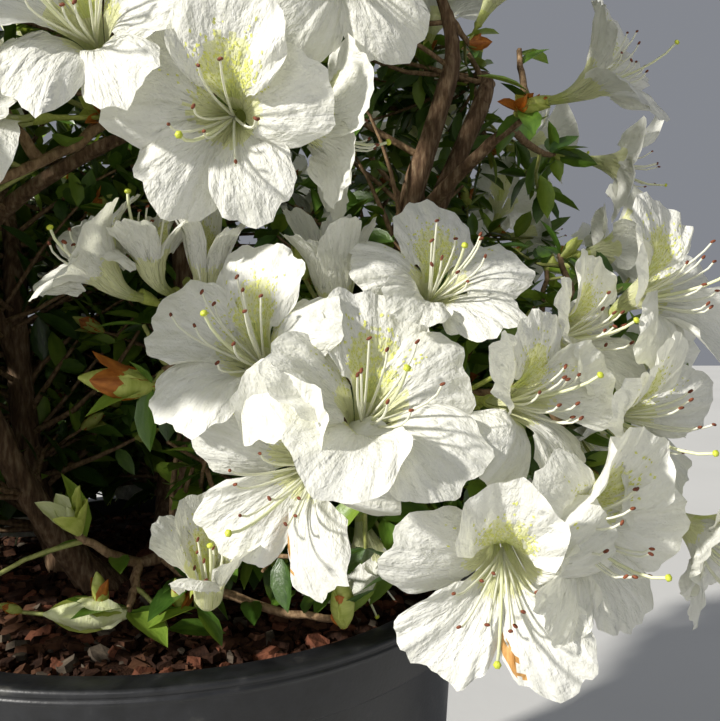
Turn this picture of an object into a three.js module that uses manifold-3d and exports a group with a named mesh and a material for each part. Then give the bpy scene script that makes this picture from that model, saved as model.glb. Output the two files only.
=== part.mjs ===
// White azalea shrub in a black nursery pot. Millimetres, +Z up. The origin is the centre of the pot's
// flat underside. Eight stems rise from the potting mix and fork into boughs, and each bough ends where it
// enters a mass of foliage: twigs with leaves, buds and large five-lobed blossoms, all grown by one rule.
import * as THREE from "three";
import { mergeVertices } from "three/addons/utils/BufferGeometryUtils.js";
import Module from "manifold-3d";

const wasm = await Module();
wasm.setup();

const GAP = 0.3;
const GRIDS = [0.01, 0.02, 0.004];

// Pot: a tapered wall, a wide flat lip and a skirt turned down from it
const POT_HEIGHT = 300;
const RIM_RADIUS = 178;
const LIP_WIDTH = 14;
const SKIRT_DEPTH = 26;
const BASE_RADIUS = 150;
const POT_WALL = 2.5;
const POT_SIDES = 32;
const DRAIN_HOLES = 8;
const DRAIN_RADIUS = 9;
const DRAIN_HEIGHT = 12;

// Potting mix: flat where the stems stand, falling a little towards the wall
const MIX_TOP = 290;
const MIX_EDGE_DROP = 4;
const MIX_FLAT_RADIUS = 110;

// Crown: how far the blossoms reach from the crown's centre on each side
const CROWN_CENTRE = new THREE.Vector3(5, 8, 470);
const CROWN = { right: 305, left: 300, front: 272, back: 290, up: 272, down: 215 };
const LOWEST_TRUSS = 352;
const LOWEST_TIP = 303;

// The crown stands open to the front between its masses: only the placed blossoms grow in this square cone.
// Others grow in it again behind the front mass and at its right edge, as shares of the depth
const FRONT_GAP = {
  apex: new THREE.Vector3(109, -464, 441),
  dip: THREE.MathUtils.degToRad(3),
  spread: Math.tan(THREE.MathUtils.degToRad(26.5)),
  depth: 440,
  hiddenFrom: 325,
  hiddenBelow: 0.1,
  hiddenRightOf: -0.26,
  edgeFrom: 395,
  edgeRightOf: 0.36,
};

// Stems: foot on the mix, a bend and a tip, with the radius at foot and tip
const FOOT_SUNK = 0.06;
const FLARE = 0.6;
const FLARE_SHARE = 0.24;
const STEM_SIDES = 8;
const STEM_STEPS = 8;
const STEMS = {
  left: { foot: [-66, -6], bend: [-94, -8, 345], tip: [-93, -10, 455], radius: [8.5, 6.6] },
  left_front: { foot: [-36, -36], bend: [-66, -66, 340], tip: [-88, -84, 428], radius: [8.2, 6.0] },
  front: { foot: [26, -44], bend: [50, -62, 325], tip: [82, -84, 356], radius: [8.6, 6.4] },
  right_low: { foot: [82, -22], bend: [120, -28, 325], tip: [160, -30, 372], radius: [7.6, 5.8] },
  right_inner: { foot: [62, 6], bend: [112, 10, 420], tip: [163, 14, 588], radius: [9.0, 5.8] },
  right_outer: { foot: [46, 38], bend: [128, 42, 440], tip: [188, 46, 582], radius: [9.4, 6.0] },
  centre: { foot: [0, 6], bend: [14, 10, 430], tip: [-12, 12, 560], radius: [9.2, 5.8] },
  back: { foot: [-20, 56], bend: [-34, 92, 380], tip: [-30, 116, 480], radius: [8.8, 6.2] },
};

// Boughs and the stems inside the masses: one curve runs from the fork to the mass's hub
const BOUGH_SIDES = 6;
const BOUGH_STEPS = 4;
const BOUGH_SHARE = 0.62;
const FORK_TURN = 0.6;
const BOUGH_RUN = 0.4;
const BOUGH_RADIUS = [5.2, 3.9];
const HUB_SIDES = 5;
const HUB_STEPS = 3;
const HUB_RADIUS = [3.8, 2.4];

// Masses: the stem that carries it, the share of the stem where its bough leaves, and its hub as azimuth
// from +X in degrees, distance from the pot's axis and height
const MASSES = [
  { name: "front", stem: "front", at: 1, azimuth: -43.5, out: 163, height: 388 },
  { name: "low_front", stem: "front", at: 0.42, azimuth: -86, out: 116, height: 330 },
  { name: "upper_front", stem: "left_front", at: 1, azimuth: -76, out: 122, height: 532 },
  { name: "upper_front_right", stem: "right_inner", at: 0.68, azimuth: -12, out: 208, height: 556 },
  { name: "left_front", stem: "left_front", at: 0.62, azimuth: -150, out: 185, height: 405 },
  { name: "left_back", stem: "left", at: 0.6, azimuth: 150, out: 185, height: 405 },
  { name: "back", stem: "back", at: 0.6, azimuth: 96, out: 190, height: 400 },
  { name: "right_back", stem: "right_outer", at: 0.42, azimuth: 42, out: 190, height: 405 },
  { name: "right", stem: "right_low", at: 1, azimuth: -6, out: 215, height: 405 },
  { name: "upper_left_front", stem: "left", at: 0.78, azimuth: -152, out: 160, height: 560 },
  { name: "upper_left_back", stem: "left", at: 1, azimuth: 155, out: 160, height: 565 },
  { name: "upper_back", stem: "back", at: 1, azimuth: 100, out: 160, height: 568 },
  { name: "upper_right_back", stem: "right_outer", at: 1, azimuth: 34, out: 215, height: 612 },
  { name: "top_left", stem: "centre", at: 1, azimuth: 175, out: 55, height: 645 },
  { name: "top_right", stem: "right_inner", at: 1, azimuth: 6, out: 150, height: 655 },
];

// Walls that part two masses where the plane half-way between their hubs doesn't; the normals point to
// the second
const WALLS = [
  { from: "front", to: "upper_front", point: [63, -189, 472], normal: [0.05, -0.75, 1] },
  { from: "front", to: "low_front", point: [68, -178, 361], normal: [-0.4, 0.5, -0.77] },
  { from: "front", to: "right", point: [250, -112, 400], normal: [0.35, 0.93, 0.1] },
  { from: "front", to: "upper_front_right", point: [200, -120, 515], normal: [0.2, 0.5, 0.84] },
];

// Trusses of the open front, each on a node with its blossoms as centre of the mouth, turn to the right,
// lift and roll in degrees, width, and how far it is open
const PLACED = [
  { mass: "front", node: [106, -158, 386], blossoms: [
    [117, -210, 417, 18, 38, 4, 76, 1], [82, -204, 390, -30, -8, 10, 80, 1]] },
  { mass: "front", node: [114, -126, 418], blossoms: [
    [141, -177, 461, 14, 36, 6, 72, 1], [99, -154, 454, -14, 70, 0, 66, 0.35]] },
  { mass: "front", node: [88, -150, 410], blossoms: [[64, -196, 433, -32, 24, -8, 78, 1]] },
  { mass: "front", node: [44, -136, 438], blossoms: [
    [8, -178, 466, -60, 50, 0, 60, 0.85], [28, -172, 472, -30, 72, 0, 58, 0.8],
    [50, -164, 462, 10, 72, 0, 58, 0.35]] },
  { mass: "front", node: [162, -152, 372], blossoms: [
    [155, -213, 352, -14, -15, 0, 82, 1], [199, -202, 367, 30, 0, 16, 72, 1]] },
  { mass: "front", node: [150, -138, 408], blossoms: [
    [175, -197, 413, 38, 8, 8, 70, 1], [201, -164, 437, 46, 12, 0, 66, 0.95]] },
  { mass: "front", node: [188, -125, 416], blossoms: [
    [233, -164, 455, 42, 14, 0, 72, 1], [220, -181, 401, 40, -6, 0, 76, 1]] },
  { mass: "front", node: [205, -134, 376], blossoms: [[249, -176, 354, 40, -20, 0, 68, 1]] },
  { mass: "front", node: [28, -146, 420], blossoms: [], bud: [-78, 8, 32] },
  { mass: "upper_front", node: [10, -150, 522], blossoms: [
    [16, -209, 544, 0, 14, 0, 78, 1], [-32, -198, 514, -30, 5, 0, 68, 1]] },
  { mass: "upper_front", node: [66, -148, 524], blossoms: [
    [62, -205, 508, -4, -14, 8, 74, 1], [103, -174, 512, 112, 0, 0, 66, 1]] },
  { mass: "upper_front", node: [92, -140, 575], blossoms: [[107, -196, 562, 12, -26, 0, 76, 1]] },
  { mass: "low_front", node: [36, -124, 324], blossoms: [[51, -172, 345, 14, 62, -10, 72, 0.62]] },
  { mass: "low_front", node: [-11, -140, 350], blossoms: [], bud: [-15, 60, 28] },
  { mass: "low_front", node: [8, -136, 313], blossoms: [], bud: [-80, 4, 36] },
  { mass: "low_front", node: [101, -134, 311], blossoms: [], bud: [-10, 78, 27] },
  { mass: "upper_front_right", node: [196, -44, 553], blossoms: [[238, -74, 568, 52, 26, 0, 82, 0.85]] },
];

// Growth of the trusses that no one placed
const TRUSS_SEED = 20117;
const TRUSS_TRIES = 2600;
const TRUSS_SPACING = 70;
const TRUSS_DEPTH = [56, 74];
const TRUSS_MARGIN = 8;
const BLOSSOM_SPACING = 52;
const BLOSSOM_WIDTH = [71, 83];
const BLOSSOM_TRIES = 14;
const BLOSSOM_TILT = [18, 62];
const BLOSSOM_ROLL = [-20, 20];
const SPIRAL = 2.4;
const TRUSS_OF_THREE = 0.45;
const HALF_OPEN_SHARE = 0.14;
const HALF_OPEN = 0.7;
const CUP = 1.3;
const STALK = [44, 54];
const SHOOT_RADIUS = [1.9, 1.4];
const SHOOT_SIDES = 3;
const SHOOT_STEPS = 2;
const SHOOT_CHOICES = 6;
const SHORTEST_SHOOT = 4;
const SHOOT_SAG = 0.1;
const FOOT_SHARE = 0.93;
const LEAF_LENGTH = [27, 42];
const LEAF_TILT = [45, 80];
const LEAF_SINK = 0.4;
const LEAF_SITES = [
  { ring: 1, share: 0.76, turn: 0 },
  { ring: 1, share: 0.62, turn: 2.1 },
  { ring: 0, share: 0.7, turn: 4.2 },
];
const LEAF_SHAPE = { width: 0.36, thick: 0.045, widest: 0.45, droop: 0.1 };
const BUD_SHAPE = { width: 0.5, thick: 0.5, widest: 0.4, droop: 0 };
const ITEM_MARGIN = 0.4;
const LIMB_MARGIN = 1.6;

const LOBES = 5;
const UP = new THREE.Vector3(0, 0, 1);
const degrees = THREE.MathUtils.degToRad;
const point = (list) => new THREE.Vector3(...list);
const mix = (range, share) => range[0] + (range[1] - range[0]) * share;

function seeded(seed) {
  let state = seed;
  return () => {
    state = (state * 48271) % 2147483647;
    return state / 2147483647;
  };
}

function seededAfter(seed, skipped) {
  const draw = seeded(seed);
  for (let i = 0; i < skipped; i += 1) draw();
  return draw;
}

// Solids from points and triangles
function solidFrom(points, triangles) {
  return new wasm.Manifold(new wasm.Mesh({
    numProp: 3,
    vertProperties: new Float32Array(points.flatMap((p) => [p.x, p.y, p.z])),
    triVerts: new Uint32Array(triangles.flat()),
  }));
}

function solidFromGeometry(geometry) {
  geometry.deleteAttribute("normal");
  geometry.deleteAttribute("uv");
  const merged = mergeVertices(geometry, 1e-4);
  const index = merged.index.array;
  const kept = [];
  for (let i = 0; i < index.length; i += 3) {
    const [a, b, c] = [index[i], index[i + 1], index[i + 2]];
    if (a !== b && b !== c && c !== a) kept.push(a, b, c);
  }
  return new wasm.Manifold(new wasm.Mesh({
    numProp: 3,
    vertProperties: Float32Array.from(merged.attributes.position.array),
    triVerts: Uint32Array.from(kept),
  }));
}

// Which way a curve of three points runs, also a little before its start
function headingOf(curve, t) {
  return curve.v1.clone().sub(curve.v0).multiplyScalar(1 - t)
    .addScaledVector(curve.v2.clone().sub(curve.v1), t).normalize();
}

const fuse = (solids) => solids.reduce((whole, solid) => whole.add(solid));

// Points of a solid brought onto a fine grid, and its faces numbered by them, without those that shrank
function snapped(mesh, grid) {
  const seen = new Map();
  const points = [];
  const number = [];
  for (let v = 0; v < mesh.vertProperties.length; v += mesh.numProp) {
    const xyz = [0, 1, 2].map((axis) => Math.round(mesh.vertProperties[v + axis] / grid) * grid);
    const key = xyz.map((value) => Math.round(value / grid)).join();
    if (!seen.has(key)) {
      seen.set(key, points.length);
      points.push(xyz);
    }
    number.push(seen.get(key));
  }
  const faces = [];
  for (let i = 0; i < mesh.triVerts.length; i += 3) {
    const face = [0, 1, 2].map((corner) => number[mesh.triVerts[i + corner]]);
    if (new Set(face).size === 3) faces.push(face);
  }
  return { points, faces };
}

// The largest connected body of faces: sealed hollows are filled by this and loose scraps dropped
function largestBody(points, faces) {
  const parent = points.map((_, i) => i);
  const root = (i) => {
    let at = i;
    while (parent[at] !== at) {
      parent[at] = parent[parent[at]];
      at = parent[at];
    }
    return at;
  };
  for (const [a, b, c] of faces) {
    parent[root(a)] = root(b);
    parent[root(b)] = root(c);
  }
  const bodies = new Map();
  for (const face of faces) {
    const body = root(face[0]);
    if (!bodies.has(body)) bodies.set(body, []);
    bodies.get(body).push(face);
  }
  return [...bodies.values()].sort((a, b) => b.length - a.length)[0];
}

function isClosed(faces) {
  const edges = new Set();
  let twice = false;
  const name = (a, b) => `${a} ${b}`;
  for (const face of faces) {
    face.forEach((from, corner) => {
      const edge = name(from, face[(corner + 1) % 3]);
      twice = twice || edges.has(edge);
      edges.add(edge);
    });
  }
  return !twice && faces.every((face) => face.every((from, corner) => (
    edges.has(name(face[(corner + 1) % 3], from)))));
}

function outerBody(solid) {
  const mesh = solid.getMesh();
  for (const grid of GRIDS) {
    const { points, faces } = snapped(mesh, grid);
    const body = largestBody(points, faces);
    if (isClosed(body)) {
      const geometry = new THREE.BufferGeometry();
      geometry.setAttribute("position", new THREE.Float32BufferAttribute(points.flat(), 3));
      geometry.setIndex(body.flat());
      return geometry;
    }
  }
  throw new Error("a solid stays open on every grid");
}

// Round limbs that taper along a curve
function tube(curve, from, to, radiusAt, sides, steps) {
  const points = [];
  const triangles = [];
  const side = new THREE.Vector3(0.31, 0.77, 0.56);
  for (let i = 0; i <= steps; i += 1) {
    const t = from + ((to - from) * i) / steps;
    const along = headingOf(curve, t);
    const centre = curve.getPoint(t);
    side.addScaledVector(along, -side.dot(along)).normalize();
    const up = along.clone().cross(side);
    for (let j = 0; j < sides; j += 1) {
      const turn = (2 * Math.PI * j) / sides;
      points.push(centre.clone()
        .addScaledVector(side, Math.cos(turn) * radiusAt(i / steps))
        .addScaledVector(up, Math.sin(turn) * radiusAt(i / steps)));
    }
  }
  for (let i = 0; i < steps; i += 1) {
    for (let j = 0; j < sides; j += 1) {
      const a = i * sides + j;
      const b = i * sides + ((j + 1) % sides);
      triangles.push([a, b, b + sides], [a, b + sides, a + sides]);
    }
  }
  const last = steps * sides;
  for (let j = 1; j < sides - 1; j += 1) {
    triangles.push([0, j + 1, j], [last, last + j, last + j + 1]);
  }
  return solidFrom(points, triangles);
}

function flaredRadius(radius, share) {
  const flare = Math.max(0, 1 - share / FLARE_SHARE);
  return mix(radius, share) * (1 + FLARE * flare * flare);
}

// Stems
const stems = {};
for (const [name, { foot, bend, tip, radius }] of Object.entries(STEMS)) {
  const curve = new THREE.QuadraticBezierCurve3(point([...foot, MIX_TOP + GAP]), point(bend), point(tip));
  stems[name] = { curve, radius };
}

function stemSolid({ curve, radius }, grown) {
  const foot = curve.getPoint(0);
  const radiusAt = (share) => flaredRadius(radius, share) + grown;
  const solid = tube(curve, -FOOT_SUNK, 1, radiusAt, STEM_SIDES, STEM_STEPS);
  if (grown > 0) return solid;
  const ground = new THREE.BoxGeometry(80, 80, 40);
  ground.translate(foot.x, foot.y, foot.z - 20);
  return solid.subtract(solidFromGeometry(ground));
}

// Boughs: the one that carries a stem on starts just past its tip, the others are cut clear of its side
const masses = MASSES.map((mass, number) => {
  const stem = stems[mass.stem];
  const fork = stem.curve.getPoint(mass.at);
  const onward = headingOf(stem.curve, mass.at);
  const hub = new THREE.Vector3(
    mass.out * Math.cos(degrees(mass.azimuth)), mass.out * Math.sin(degrees(mass.azimuth)), mass.height);
  const reach = hub.distanceTo(fork);
  const heading = onward.clone().lerp(hub.clone().sub(fork).normalize(), mass.at < 1 ? FORK_TURN : 0);
  const bend = fork.clone().addScaledVector(heading, reach * BOUGH_RUN);
  const curve = new THREE.QuadraticBezierCurve3(fork, bend, hub);
  const gapShare = GAP / reach;
  return { ...mass, number, fork, hub, curve, onStem: mass.at < 1, start: mass.at < 1 ? 0 : gapShare * 1.3,
    boughEnd: BOUGH_SHARE, hubStart: BOUGH_SHARE + gapShare * 1.3 };
});

function boughSolid(mass) {
  const solid = tube(mass.curve, mass.start, mass.boughEnd, (share) => mix(BOUGH_RADIUS, share),
    BOUGH_SIDES, BOUGH_STEPS);
  return mass.onStem ? solid.subtract(stemSolid(stems[mass.stem], GAP + 0.05)) : solid;
}

// Limbs as short straight pieces, for measuring how clear a point is of them
const limbs = [];
function addLimb(owner, curve, from, to, radiusAt, steps) {
  for (let i = 0; i < steps; i += 1) {
    limbs.push({
      owner,
      start: curve.getPoint(from + ((to - from) * i) / steps),
      end: curve.getPoint(from + ((to - from) * (i + 1)) / steps),
      radius: Math.max(radiusAt(i / steps), radiusAt((i + 1) / steps)),
    });
  }
}
for (const { curve, radius } of Object.values(stems)) {
  addLimb(-1, curve, 0, 1, (share) => flaredRadius(radius, share), STEM_STEPS);
}
for (const mass of masses) {
  addLimb(-1, mass.curve, mass.start, mass.boughEnd, (share) => mix(BOUGH_RADIUS, share), BOUGH_STEPS);
  addLimb(mass.number, mass.curve, mass.hubStart, 1, (share) => mix(HUB_RADIUS, share), HUB_STEPS);
}

function distanceToLimb(p, limb) {
  const line = new THREE.Line3(limb.start, limb.end);
  return line.closestPointToPoint(p, true, new THREE.Vector3()).distanceTo(p) - limb.radius;
}

// The space of each mass, as the planes that part it from every other
for (const mass of masses) {
  mass.walls = masses.filter((other) => other !== mass).map((other) => {
    const own = WALLS.find((wall) => wall.from === mass.name && wall.to === other.name);
    const theirs = WALLS.find((wall) => wall.from === other.name && wall.to === mass.name);
    if (own) return { at: point(own.point), normal: point(own.normal).normalize() };
    if (theirs) return { at: point(theirs.point), normal: point(theirs.normal).normalize().negate() };
    const across = other.hub.clone().sub(mass.hub);
    return { at: mass.hub.clone().lerp(other.hub, 0.5), normal: across.normalize() };
  });
}

const inSpace = (mass, p, margin) => (
  mass.walls.every(({ at, normal }) => p.clone().sub(at).dot(normal) < -margin));

const isClear = (mass, p, margin) => (
  limbs.every((limb) => limb.owner === mass.number || distanceToLimb(p, limb) > margin));

const fits = (mass, points) => points.every((p) => (
  p.z > LOWEST_TIP && inSpace(mass, p, ITEM_MARGIN) && isClear(mass, p, LIMB_MARGIN)));

function inFrontGap(p) {
  const from = p.clone().sub(FRONT_GAP.apex);
  const depth = from.y * Math.cos(FRONT_GAP.dip) - from.z * Math.sin(FRONT_GAP.dip);
  const rise = from.z * Math.cos(FRONT_GAP.dip) + from.y * Math.sin(FRONT_GAP.dip);
  const edge = depth * FRONT_GAP.spread;
  const inCone = depth < FRONT_GAP.depth && Math.abs(from.x) < edge && Math.abs(rise) < edge;
  const isHidden = depth > FRONT_GAP.hiddenFrom && rise < FRONT_GAP.hiddenBelow * depth
    && from.x > FRONT_GAP.hiddenRightOf * depth;
  const atEdge = depth > FRONT_GAP.edgeFrom && from.x > FRONT_GAP.edgeRightOf * depth;
  return inCone && !isHidden && !atEdge;
}

// Where the crown's surface lies in a direction from its centre, and which way it faces at a point
function crownScale(direction) {
  const x = direction.x / (direction.x > 0 ? CROWN.right : CROWN.left);
  const y = direction.y / (direction.y > 0 ? CROWN.back : CROWN.front);
  const z = direction.z / (direction.z > 0 ? CROWN.up : CROWN.down);
  return 1 / Math.hypot(x, y, z);
}

function outwardAt(p) {
  const from = p.clone().sub(CROWN_CENTRE);
  const x = from.x / (from.x > 0 ? CROWN.right : CROWN.left) ** 2;
  const y = from.y / (from.y > 0 ? CROWN.back : CROWN.front) ** 2;
  const z = from.z / (from.z > 0 ? CROWN.up : CROWN.down) ** 2;
  return new THREE.Vector3(x, y, z).normalize();
}

// Trusses: the placed ones, then darts thrown at a shell just under the crown's surface
function growTrusses() {
  const trusses = PLACED.map((placed, number) => {
    const node = point(placed.node);
    return { number, mass: masses.find((mass) => mass.name === placed.mass), node, placed,
      outward: outwardAt(node) };
  });
  const draw = seededAfter(TRUSS_SEED, 4);
  for (let i = 0; i < TRUSS_TRIES; i += 1) {
    const height = 1 - 1.75 * draw();
    const turn = 2 * Math.PI * draw();
    const depth = mix(TRUSS_DEPTH, draw());
    const flat = Math.sqrt(1 - height * height);
    const direction = new THREE.Vector3(flat * Math.cos(turn), flat * Math.sin(turn), height);
    const node = CROWN_CENTRE.clone().addScaledVector(direction, crownScale(direction) - depth);
    const mass = masses.find((each) => inSpace(each, node, TRUSS_MARGIN));
    const open = node.z > LOWEST_TRUSS && !inFrontGap(node);
    if (mass && open && trusses.every((other) => other.node.distanceTo(node) > TRUSS_SPACING)) {
      trusses.push({ number: trusses.length, mass, node, placed: null, outward: outwardAt(node) });
    }
  }
  return trusses;
}

// Points of a blossom: throat, foot of the stalk, a ring behind the throat, then three rim points a lobe
function blossomPoints({ foot, centre, facing, side, up, width, open }) {
  const radius = width / 2;
  const spread = 0.35 + 0.65 * open;
  const place = (out, angle, height) => centre.clone()
    .addScaledVector(side, Math.cos(angle) * out * radius * spread)
    .addScaledVector(up, Math.sin(angle) * out * radius * spread)
    .addScaledVector(facing, (height + (1 - open) * CUP * out) * radius);
  const notch = (lobe) => degrees(54 + (360 / LOBES) * lobe);
  const points = [place(0, 0, -0.4), foot];
  for (let lobe = 0; lobe < LOBES; lobe += 1) points.push(place(0.3, notch(lobe), -0.42));
  for (let lobe = 0; lobe < LOBES; lobe += 1) {
    points.push(place(0.72, notch(lobe), -0.08));
    points.push(place(1.0, notch(lobe) + degrees(19), 0.03));
    points.push(place(1.0, notch(lobe) + degrees(53), -0.02));
  }
  return points;
}

function blossomSolid(blossom) {
  const triangles = [];
  for (let lobe = 0; lobe < LOBES; lobe += 1) {
    const next = (lobe + 1) % LOBES;
    const near = 2 + lobe;
    const far = 2 + next;
    const rim = 2 + LOBES + 3 * lobe;
    const nextRim = 2 + LOBES + 3 * next;
    triangles.push([0, rim, rim + 1], [0, rim + 1, rim + 2], [0, rim + 2, nextRim], [1, far, near],
      [near, rim + 1, rim], [near, far, rim + 1], [far, rim + 2, rim + 1], [far, nextRim, rim + 2]);
  }
  return solidFrom(blossomPoints(blossom), triangles);
}

// Leaves and buds are eight-faced spindles: base, tip, two edges, top and underside
function spindlePoints({ base, along, across, length, shape }) {
  const normal = along.clone().cross(across);
  const middle = base.clone().addScaledVector(along, length * shape.widest);
  const tip = base.clone().addScaledVector(along, length).addScaledVector(normal, -length * shape.droop);
  return [tip, middle.clone().addScaledVector(across, (length * shape.width) / 2),
    middle.clone().addScaledVector(normal, (length * shape.thick) / 2), base,
    middle.clone().addScaledVector(across, (-length * shape.width) / 2),
    middle.clone().addScaledVector(normal, (-length * shape.thick) / 2)];
}

function spindleSolid(spindle) {
  const upper = [[0, 1, 2], [1, 3, 2], [3, 4, 2], [4, 0, 2]];
  const lower = [[1, 0, 5], [3, 1, 5], [4, 3, 5], [0, 4, 5]];
  return solidFrom(spindlePoints(spindle), [...upper, ...lower]);
}

// Two directions square to a given one
function basisOf(direction) {
  const flat = UP.clone().cross(direction);
  const side = flat.length() > 0.1 ? flat.normalize() : new THREE.Vector3(1, 0, 0);
  const first = side.addScaledVector(direction, -side.dot(direction)).normalize();
  return [first, direction.clone().cross(first)];
}

function blossomAt(foot, centre, facing, roll, width, open) {
  const [side, up] = basisOf(facing);
  const rolledUp = up.clone().multiplyScalar(Math.cos(roll)).addScaledVector(side, Math.sin(roll));
  const rolledSide = side.clone().multiplyScalar(Math.cos(roll)).addScaledVector(up, -Math.sin(roll));
  return { foot, centre, facing, side: rolledSide, up: rolledUp, width, open };
}

function facingOf(turn, lift) {
  return new THREE.Vector3(Math.sin(degrees(turn)) * Math.cos(degrees(lift)),
    -Math.cos(degrees(turn)) * Math.cos(degrees(lift)), Math.sin(degrees(lift)));
}

const leaning = (outward, first, second, spin, tilt) => outward.clone().multiplyScalar(Math.cos(tilt))
  .addScaledVector(first, Math.cos(spin) * Math.sin(tilt))
  .addScaledVector(second, Math.sin(spin) * Math.sin(tilt)).normalize();

// Blossoms of one truss
function growBlossoms(truss, foot, draw, grown) {
  if (truss.placed) {
    return truss.placed.blossoms.map(([x, y, z, turn, lift, roll, width, open]) => (
      blossomAt(foot, new THREE.Vector3(x, y, z), facingOf(turn, lift), degrees(roll), width, open)));
  }
  const wanted = draw() < TRUSS_OF_THREE ? 3 : 2;
  const spin = 2 * Math.PI * draw();
  const [first, second] = basisOf(truss.outward);
  const blossoms = [];
  for (let i = 0; i < BLOSSOM_TRIES; i += 1) {
    const tilt = degrees(mix(BLOSSOM_TILT, draw()));
    const stalk = mix(STALK, draw());
    const width = mix(BLOSSOM_WIDTH, draw());
    const roll = degrees(mix(BLOSSOM_ROLL, draw()));
    const open = draw() < HALF_OPEN_SHARE ? HALF_OPEN : 1;
    const facing = leaning(truss.outward, first, second, spin + i * SPIRAL, tilt);
    const centre = truss.node.clone().addScaledVector(facing, stalk);
    const blossom = blossomAt(foot, centre, facing, roll, width, open);
    const isNear = (other) => other.centre.distanceTo(blossom.centre) < BLOSSOM_SPACING;
    const apart = !grown.some(isNear) && !blossoms.some(isNear);
    const outline = blossomPoints(blossom);
    if (blossoms.length < wanted && apart && fits(truss.mass, outline) && !outline.some(inFrontGap)) {
      blossoms.push(blossom);
    }
  }
  return blossoms;
}

function growLeaves(truss, shoot, draw) {
  const leaves = [];
  const spin = 2 * Math.PI * draw();
  const sites = LEAF_SITES.map(({ ring, share, turn }) => {
    const along = shoot.rings[ring + 1].clone().sub(shoot.rings[ring]).normalize();
    const [first, second] = basisOf(along);
    const at = shoot.rings[ring].clone().lerp(shoot.rings[ring + 1], share);
    return { at, along, first, second, spin: spin + turn };
  });
  for (const site of sites) {
    const tilt = degrees(mix(LEAF_TILT, draw()));
    const length = mix(LEAF_LENGTH, draw());
    const along = leaning(site.along, site.first, site.second, site.spin, tilt);
    const across = along.clone().cross(UP).normalize();
    const base = site.at.clone().addScaledVector(along, -LEAF_SINK);
    const leaf = { base, along, across, length, shape: LEAF_SHAPE };
    if (fits(truss.mass, spindlePoints(leaf).filter((_, i) => i !== 3))) leaves.push(leaf);
  }
  return leaves;
}

// Each truss grows on a shoot from the nearest free point of its mass's twigs
function growShoot(truss, tree) {
  const near = tree.map((p) => ({ p, distance: p.distanceTo(truss.node) }));
  near.sort((a, b) => a.distance - b.distance);
  for (const { p, distance } of near.slice(0, SHOOT_CHOICES)) {
    const bend = p.clone().lerp(truss.node, 0.55).add(new THREE.Vector3(0, 0, -SHOOT_SAG * distance));
    const curve = new THREE.QuadraticBezierCurve3(p, bend, truss.node);
    const rings = [];
    for (let i = 0; i <= SHOOT_STEPS; i += 1) rings.push(curve.getPoint(i / SHOOT_STEPS));
    if (distance > SHORTEST_SHOOT && fits(truss.mass, rings.slice(1))) return { curve, rings };
  }
  return null;
}

function growMass(mass, trusses, grown) {
  const tree = [];
  for (let i = 1; i <= HUB_STEPS; i += 1) {
    tree.push(mass.curve.getPoint(mass.hubStart + ((1 - mass.hubStart) * i) / HUB_STEPS));
  }
  const plan = { shoots: [], blossoms: [], leaves: [], buds: [] };
  const own = trusses.filter((truss) => truss.mass === mass)
    .sort((a, b) => a.node.distanceTo(mass.hub) - b.node.distanceTo(mass.hub));
  for (const truss of own) {
    const draw = seededAfter(TRUSS_SEED + 101 * truss.number, 4);
    const shoot = growShoot(truss, tree);
    if (!shoot) continue;
    const foot = shoot.rings[SHOOT_STEPS - 1].clone().lerp(truss.node, FOOT_SHARE);
    const blossoms = growBlossoms(truss, foot, draw, grown);
    const bud = truss.placed?.bud;
    if (!bud && blossoms.length === 0) continue;
    grown.push(...blossoms);
    plan.shoots.push(shoot);
    tree.push(...shoot.rings.slice(1));
    plan.blossoms.push(...blossoms);
    if (bud) {
      const along = facingOf(bud[0], bud[1]);
      plan.buds.push({ base: foot, along, across: basisOf(along)[0], length: bud[2], shape: BUD_SHAPE });
    }
    plan.leaves.push(...growLeaves(truss, shoot, draw));
  }
  return plan;
}

function massSolid(mass, plan) {
  return fuse([
    tube(mass.curve, mass.hubStart, 1, (share) => mix(HUB_RADIUS, share), HUB_SIDES, HUB_STEPS),
    ...plan.shoots.map(({ curve }) => (
      tube(curve, 0, 1, (share) => mix(SHOOT_RADIUS, share), SHOOT_SIDES, SHOOT_STEPS))),
    ...plan.blossoms.map(blossomSolid),
    ...plan.buds.map(spindleSolid),
    ...plan.leaves.map(spindleSolid),
  ]);
}

// Pot and potting mix
function turned(profile, sides) {
  const geometry = new THREE.LatheGeometry(profile.map(([r, z]) => new THREE.Vector2(r, z)), sides);
  geometry.rotateX(Math.PI / 2);
  return geometry;
}

const LIP_INNER = RIM_RADIUS - LIP_WIDTH;
const wallInner = (z) => BASE_RADIUS - POT_WALL + ((LIP_INNER - BASE_RADIUS + POT_WALL) * z) / POT_HEIGHT;

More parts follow.
